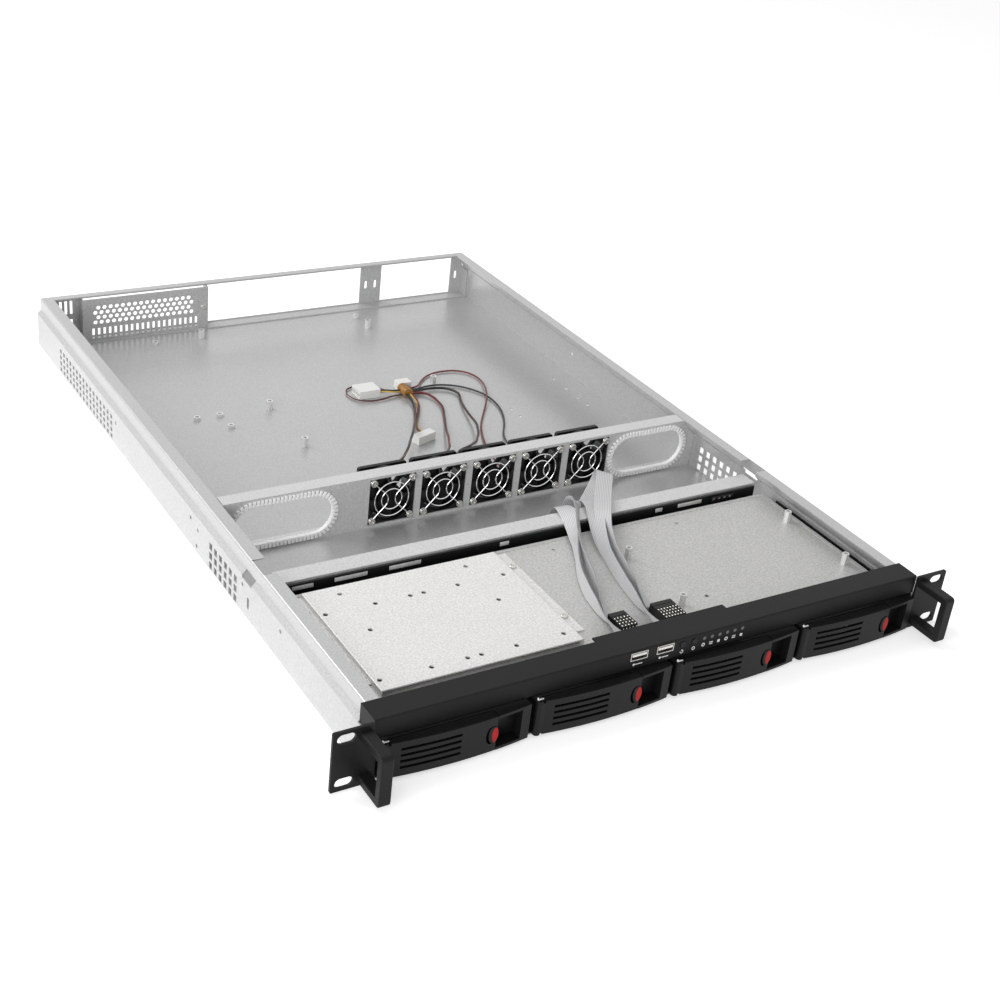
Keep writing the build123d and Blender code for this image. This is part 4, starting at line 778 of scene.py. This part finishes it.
class CASE_OT_leads(bpy.types.Operator):
    """Make the fan leads and the power leads"""
    bl_idname = "server_case.leads"
    bl_label = "Leads"

    def tie(self):
        """The turns of brown tape that hold the leads together."""
        x, y, z = TAPE_MIDDLE
        turns = [block("core", TAPE_CORE, TAPE_MIDDLE, 2.4, 3)]
        for i in range(TAPE_TURNS):
            along = y + TAPE_START + TAPE_PITCH * i
            height = TAPE_REACH[2] + TAPE_STEP * (i % 2)
            loop = []
            for s in range(24):
                side, up = math.cos(math.pi * s / 12), math.sin(math.pi * s / 12)
                loop.append((x + TAPE_REACH[0] * side, along + TAPE_REACH[1] * up, z + height * up))
            turns.append(wire("turn", loop, TAPE_WIDTH * MM, closed=True))
        tie = joined(turns, "harness_wrap")
        dress(tie, "Tie")
        hand_over(tie, smooth=50)
        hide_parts("harness_tie")
        return tie

    def execute(self, context):
        tie = self.tie()
        for name, (route, tints) in LEADS.items():
            width = OTHER_WIDTHS.get(name, LEAD_WIDTH) * MM
            piece, points = strand_piece(name + "_wires", route, tints, width)
            hand_over(piece, smooth=60)
            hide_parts(name)
            declare(piece, points, width)
        tints = ("yellow", "black", "yellow")
        piece, points = strand_piece("power_lead_wires", POWER_LEAD, tints, POWER_LEAD_WIDTH * MM)
        hand_over(piece, smooth=60)
        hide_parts("power_lead")
        return {"FINISHED"}


class CASE_OT_finishes(bpy.types.Operator):
    """Make the materials and give the CAD pieces theirs"""
    bl_idname = "server_case.finishes"
    bl_label = "Finishes"

    def execute(self, context):
        make_materials(context.scene.case_finishes, context.scene.case_sizes.ribbon_wires)
        for material, names in NODE_FINISH.items():
            for name in names:
                dress(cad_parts[name], material)
        return {"FINISHED"}


class CASE_OT_fan_guards(bpy.types.Operator):
    """Make the round wire guards in front of the fans"""
    bl_idname = "server_case.fan_guards"
    bl_label = "Fan guards"

    def execute(self, context):
        width = context.scene.case_sizes.guard_wire
        depth = FAN_FRONT - width / MM / 2
        parts = []
        for radius in GUARD_RINGS:
            parts.append(wire("ring", circle(radius, 48, depth), width, closed=True))
        reach = GUARD_RINGS[0]
        for side in (-1, 1):
            arm = [(side * reach, depth, FAN_MIDDLE + reach)]
            for s in range(9):
                a = math.pi * (0.75 + 0.5 * s / 8)
                out = side * (GUARD_ARM_MIDDLE + GUARD_ARM_RADIUS * math.cos(a))
                arm.append((out, depth, FAN_MIDDLE + GUARD_ARM_RADIUS * math.sin(a)))
            arm.append((side * reach, depth, FAN_MIDDLE - reach))
            parts.append(wire("arm", arm, width))
            for up in FAN_HOLES:
                eye = circle(GUARD_EYE, 16, depth, side * FAN_HOLES[1], FAN_MIDDLE + up)
                parts.append(wire("eye", eye, width, closed=True))
        guard = joined(parts, "guard")
        guards = [
            copied(guard, f"guard_{i}", Matrix.Translation((x * MM, 0, 0)))
            for i, x in enumerate(FANS)
        ]
        discard(guard)
        whole = joined(guards, "fan_guard_wires")
        dress(whole, "Bright wire")
        hand_over(whole, smooth=60)
        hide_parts("fan_guards")
        return {"FINISHED"}


def along_way(middle, width, offset, count):
    """Evenly spaced places round an oval way, moved outwards by an offset, with the outward way of each."""
    radius = WAY_HEIGHT / 2
    straight = width - WAY_HEIGHT
    bend = math.pi * radius
    for i in range(count):
        s = (2 * straight + 2 * bend) * i / count
        side = 1 if s < straight + bend else -1
        s -= 0 if side > 0 else straight + bend
        angle = max(0.0, s - straight) / radius
        x = side * (min(s, straight) - straight / 2)
        out = (side * math.sin(angle), side * math.cos(angle))
        reach = radius + offset
        yield (middle + x + out[0] * reach, WAY_MIDDLE + out[1] * reach), out


class CASE_OT_edging(bpy.types.Operator):
    """Make the toothed nylon edging of the two cable ways"""
    bl_idname = "server_case.edging"
    bl_label = "Cable way edging"

    def execute(self, context):
        tooth = block("tooth", TOOTH, (0, 0, 0), 0.4, 2)
        parts = []
        for middle, width in WAYS:
            for depth in RIM_DEPTHS:
                ring = [(x, depth, z) for (x, z), _ in along_way(middle, width, RIM_OFFSET, 96)]
                parts.append(wire("rim", ring, RIM_WIDTH * MM, closed=True))
            way_round = 2 * (width - WAY_HEIGHT) + math.pi * WAY_HEIGHT
            teeth = round(way_round / TOOTH_PITCH)
            for depth in TOOTH_DEPTHS:
                for (x, z), out in along_way(middle, width, TOOTH_OFFSET, teeth):
                    place = Matrix.Translation((x * MM, depth * MM, z * MM))
                    turn = Matrix.Rotation(math.atan2(out[0], out[1]), 4, "Y")
                    parts.append(copied(tooth, "tooth", place @ turn))
        discard(tooth)
        edging = joined(parts, "way_edging")
        dress(edging, "Grommet nylon")
        hand_over(edging, smooth=45)
        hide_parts("cable_grommets")
        return {"FINISHED"}


def screw_places():
    """Where each screw sits: its seat and the way that its head looks."""
    up, front, back = Vector((0, 0, 1)), Vector((0, -1, 0)), Vector((0, 1, 0))
    places = [((x, y, z), up) for xs, ys, z in (PLATE_SCREWS, STRIP_SCREWS) for x in xs for y in ys]
    places += [
        ((x + i, FAN_SCREW_FRONT, FAN_MIDDLE + j), front)
        for x in FANS for i in FAN_HOLES for j in FAN_HOLES
    ]
    places += [((x, 0.0, z), back) for x in EAR_SCREWS[0] for z in EAR_SCREWS[1]]
    places.append((REAR_SCREW, front))
    return places


class CASE_OT_screws(bpy.types.Operator):
    """Make the cross-head screws"""
    bl_idname = "server_case.screws"
    bl_label = "Screws"

    def execute(self, context):
        radius = context.scene.case_sizes.screw_head / 2
        fresh()
        bpy.ops.mesh.primitive_cylinder_add(
            vertices=24, radius=radius, depth=SCREW_HEIGHT * MM,
            location=(0, 0, SCREW_HEIGHT / 2 * MM),
        )
        head = started("screw")
        settle(head)
        rim = (SCREW_HEIGHT - 0.1) * MM
        edit(head, "EDGE", lambda e: all(v.co.z > rim for v in e.verts) and e.calc_length() < radius)
        bpy.ops.mesh.bevel(offset=SCREW_ROUNDING * MM, segments=3, affect="EDGES")
        done()
        long, thin = SCREW_CROSS
        middle = (0, 0, SCREW_HEIGHT - CROSS_DEPTH + 1)
        cutters = [block("cut", (*size, 2), middle) for size in ((long, thin), (thin, long))]
        for cutter in cutters:
            only(head)
            recess = head.modifiers.new("Cross", "BOOLEAN")
            recess.operation = "DIFFERENCE"
            recess.object = cutter
            bpy.ops.object.modifier_apply(modifier=recess.name)
            discard(cutter)
        fresh()
        bpy.ops.mesh.primitive_cylinder_add(
            vertices=12, radius=SHANK_RADIUS * MM, depth=SHANK_LENGTH * MM,
            location=(0, 0, -SHANK_LENGTH / 2 * MM),
        )
        shank = started("shank")
        settle(shank)
        tip = (0.1 - SHANK_LENGTH) * MM
        edit(shank, "EDGE", lambda e: all(v.co.z < tip for v in e.verts))
        bpy.ops.mesh.bevel(offset=SHANK_BEVEL * MM, segments=1, affect="EDGES")
        done()
        screw = joined([head, shank], "screw")
        spread = random.Random(4)
        copies = []
        for i, (place, way) in enumerate(screw_places()):
            turn = way.to_track_quat("Z", "Y").to_matrix().to_4x4()
            spin = Matrix.Rotation(spread.uniform(0, math.pi), 4, "Z")
            place = Matrix.Translation([v * MM for v in place])
            copies.append(copied(screw, f"screw_{i}", place @ turn @ spin))
        discard(screw)
        whole = joined(copies, "screw_set")
        dress(whole, "Plated steel")
        hand_over(whole, smooth=30)
        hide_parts("screws")
        return {"FINISHED"}


class CASE_OT_tray_details(bpy.types.Operator):
    """Make the light pipe on each drive tray"""
    bl_idname = "server_case.tray_details"
    bl_label = "Tray light pipes"

    def execute(self, context):
        for i, x in enumerate(BAYS, 1):
            (bar_size, bar_place), (stalk_size, stalk_place) = PIPE_BAR, PIPE_STALK
            bar = block("bar", bar_size, (x + bar_place[0], *bar_place[1:]), 0.22, 2)
            stalk = block("stalk", stalk_size, (x + stalk_place[0], *stalk_place[1:]), 0.2, 2)
            pipe = joined([bar, stalk], f"light_pipe_{i}")
            dress(pipe, "Mark white")
            hand_over(pipe, f"tray_{i}")
        return {"FINISHED"}


def flat_mark(name, size, x, z):
    """A flat bar or square on the front face."""
    return block(name, (size[0], MARK_DEPTH, size[1]), (x, -MARK_DEPTH / 2, z))


def ring_mark(name, centre, radius, width, start=0, sweep=360):
    """A flat ring or arc on the front face, spun from one small face."""
    x, z = centre
    fresh()
    bpy.ops.mesh.primitive_plane_add(size=1, location=((x + radius) * MM, -MARK_DEPTH / 2 * MM, z * MM))
    piece = started(name)
    piece.scale = (width * MM, MARK_DEPTH * MM, 1)
    settle(piece)
    edit(piece, "FACE", lambda face: True)
    middle = (x * MM, 0, z * MM)
    bpy.ops.mesh.spin(steps=20, angle=math.radians(sweep), center=middle, axis=(0, -1, 0))
    done()
    place = Matrix.Translation(middle)
    piece.data.transform(place @ Matrix.Rotation(-math.radians(start), 4, "Y") @ place.inverted())
    tidy_normals(piece)
    return piece


class CASE_OT_front_marks(bpy.types.Operator):
    """Make the plain white marks on the front strip"""
    bl_idname = "server_case.front_marks"
    bl_label = "Front marks"

    def execute(self, context):
        parts = []
        for x in USB_MARKS:
            parts.append(flat_mark("bar", USB_BAR, x + USB_BAR_SHIFT, USB_MARK_HEIGHT))
            parts.append(ring_mark("dot", (x + USB_DOT_SHIFT, USB_MARK_HEIGHT), *USB_DOT))
        parts.append(ring_mark("power", POWER_MARK, *BUTTON_RING, 120, 300))
        parts.append(flat_mark("bar", POWER_BAR, POWER_MARK[0], POWER_BAR_HEIGHT))
        parts.append(ring_mark("reset", RESET_MARK, *BUTTON_RING))
        for i, x in enumerate(LAMP_MARKS):
            if i % 3 == 0:
                parts.append(ring_mark("ring", (x, LAMP_MARK_HEIGHT), *LAMP_RING))
            elif i % 3 == 1:
                parts += [flat_mark("bar", LAMP_BAR, x, LAMP_MARK_HEIGHT + up) for up in (-0.7, 0.7)]
            else:
                parts.append(flat_mark("square", LAMP_SQUARE, x, LAMP_MARK_HEIGHT))
        whole = joined(parts, "front_marks")
        dress(whole, "Mark white")
        hand_over(whole, smooth=0)
        return {"FINISHED"}


class CASE_OT_contacts(bpy.types.Operator):
    """Make the bright contacts of the header plugs and of the backplane"""
    bl_idname = "server_case.contacts"
    bl_label = "Contacts"

    def execute(self, context):
        parts = []
        for left, right, front in HEADER_PLUGS:
            columns = round((right - left) / PIN_PITCH)
            step = (right - left) / columns
            for c in range(columns):
                x = left + step * (c + 0.5)
                parts += [block("pin", PIN, (x, front - 0.1, z), 0.15) for z in PIN_ROWS]
                for row in CLIP_ROWS:
                    parts.append(block("clip", CLIP, (x, front + row, CLIP_HEIGHT), 0.1))
        for c in range(4):
            x = HEADER_LEFT + HEADER_PITCH * (c + 0.5)
            parts.append(block("pad", HEADER_PIN, (x, HEADER_FRONT, HEADER_AND_WINDOW_LIGHT_HEIGHT), 0.2))
        whole = joined(parts, "contacts")
        dress(whole, "Contact")
        hand_over(whole)
        # Painted light: pale patches over the board's windows stand in for the lit bracket behind them
        painted_light_patches = [
            block("pad", (right - left - WINDOW_LIGHT_GAP, *WINDOW_LIGHT_SIDES), ((left + right) / 2, WINDOW_LIGHT_FRONT, HEADER_AND_WINDOW_LIGHT_HEIGHT), 0.3, 2)
            for left, right in WINDOW_LIGHT_SPANS
        ]
        painted_light_patches = joined(painted_light_patches, "backplane_window_light")
        dress(painted_light_patches, "Painted window light")
        hand_over(painted_light_patches)
        return {"FINISHED"}


def seen_directly(tree):
    """1 for a ray from the camera, also by way of a mirror or a clear piece, and 0 for the light on the case."""
    path = node(tree, "ShaderNodeLightPath").outputs
    seen = reckon(tree, "MAXIMUM", path["Is Camera Ray"], path["Is Glossy Ray"])
    return reckon(tree, "MAXIMUM", seen, path["Is Transmission Ray"])


class CASE_OT_stage(bpy.types.Operator):
    """Make the floor, the world and the lamps"""
    bl_idname = "server_case.stage"
    bl_label = "Stage"

    def execute(self, context):
        fresh()
        bpy.ops.mesh.primitive_plane_add(size=FLOOR_SIZE, location=STAGE_MIDDLE)
        floor = started("floor")
        settle(floor)
        edit(floor, "FACE", lambda face: True)
        bpy.ops.mesh.subdivide(number_cuts=3)
        done()
        material = bpy.data.materials.new("Floor")
        material.use_nodes = True
        tree = material.node_tree
        shader = tree.nodes["Principled BSDF"]
        shader.inputs["Base Color"].default_value = FLOOR_COLOUR
        shader.inputs["Roughness"].default_value = 0.9
        shader.inputs["Specular IOR Level"].default_value = 0.1
        shader.inputs["Emission Color"].default_value = (1, 1, 1, 1)
        lift = reckon(tree, "MULTIPLY", seen_directly(tree), FLOOR_GLOW)
        tree.links.new(lift, shader.inputs["Emission Strength"])
        floor.data.materials.append(material)

        world = bpy.data.worlds.new("Studio")
        context.scene.world = world
        world.use_nodes = True
        tree = world.node_tree
        base = tree.nodes["Background"]
        base.inputs["Color"].default_value = (1, 1, 1, 1)
        level = node(tree, "ShaderNodeMapRange", [
            ("Value", seen_directly(tree)), ("To Min", WORLD_LEVEL), ("To Max", 1.0),
        ])
        tree.links.new(level.outputs[0], base.inputs["Strength"])

        for name, place, size, power in LAMPS:
            fresh()
            bpy.ops.object.light_add(type="AREA", location=place)
            lamp = started(name)
            lamp.data.size = size
            lamp.data.energy = power
            way = Vector(STAGE_MIDDLE) - Vector(place)
            lamp.rotation_euler = way.to_track_quat("-Z", "Y").to_euler()
        context.scene.view_settings.view_transform = "Standard"
        return {"FINISHED"}


STEPS = [
    CASE_OT_camera, CASE_OT_finishes, CASE_OT_ribbons, CASE_OT_leads, CASE_OT_fan_guards, CASE_OT_edging,
    CASE_OT_screws, CASE_OT_tray_details, CASE_OT_front_marks, CASE_OT_contacts, CASE_OT_stage,
]


class CASE_PT_panel(bpy.types.Panel):
    """Steps and sizes of the server case"""
    bl_label = "Server case"
    bl_idname = "CASE_PT_panel"
    bl_space_type = "VIEW_3D"
    bl_region_type = "UI"
    bl_category = "Server case"

    def draw(self, context):
        for group in (context.scene.case_finishes, context.scene.case_sizes):
            for name in group.bl_rna.properties.keys():
                if name not in ("rna_type", "name"):
                    self.layout.prop(group, name)
        for step in STEPS:
            self.layout.operator(step.bl_idname)


CLASSES = [CaseFinishes, CaseSizes, *STEPS, CASE_PT_panel]


def register():
    for each in CLASSES:
        bpy.utils.register_class(each)
    bpy.types.Scene.case_finishes = PointerProperty(type=CaseFinishes)
    bpy.types.Scene.case_sizes = PointerProperty(type=CaseSizes)


def unregister():
    del bpy.types.Scene.case_finishes
    del bpy.types.Scene.case_sizes
    for each in reversed(CLASSES):
        bpy.utils.unregister_class(each)


def main():
    register()
    for step in STEPS:
        group, name = step.bl_idname.split(".")
        getattr(getattr(bpy.ops, group), name)()


if __name__ == "__main__":
    main()
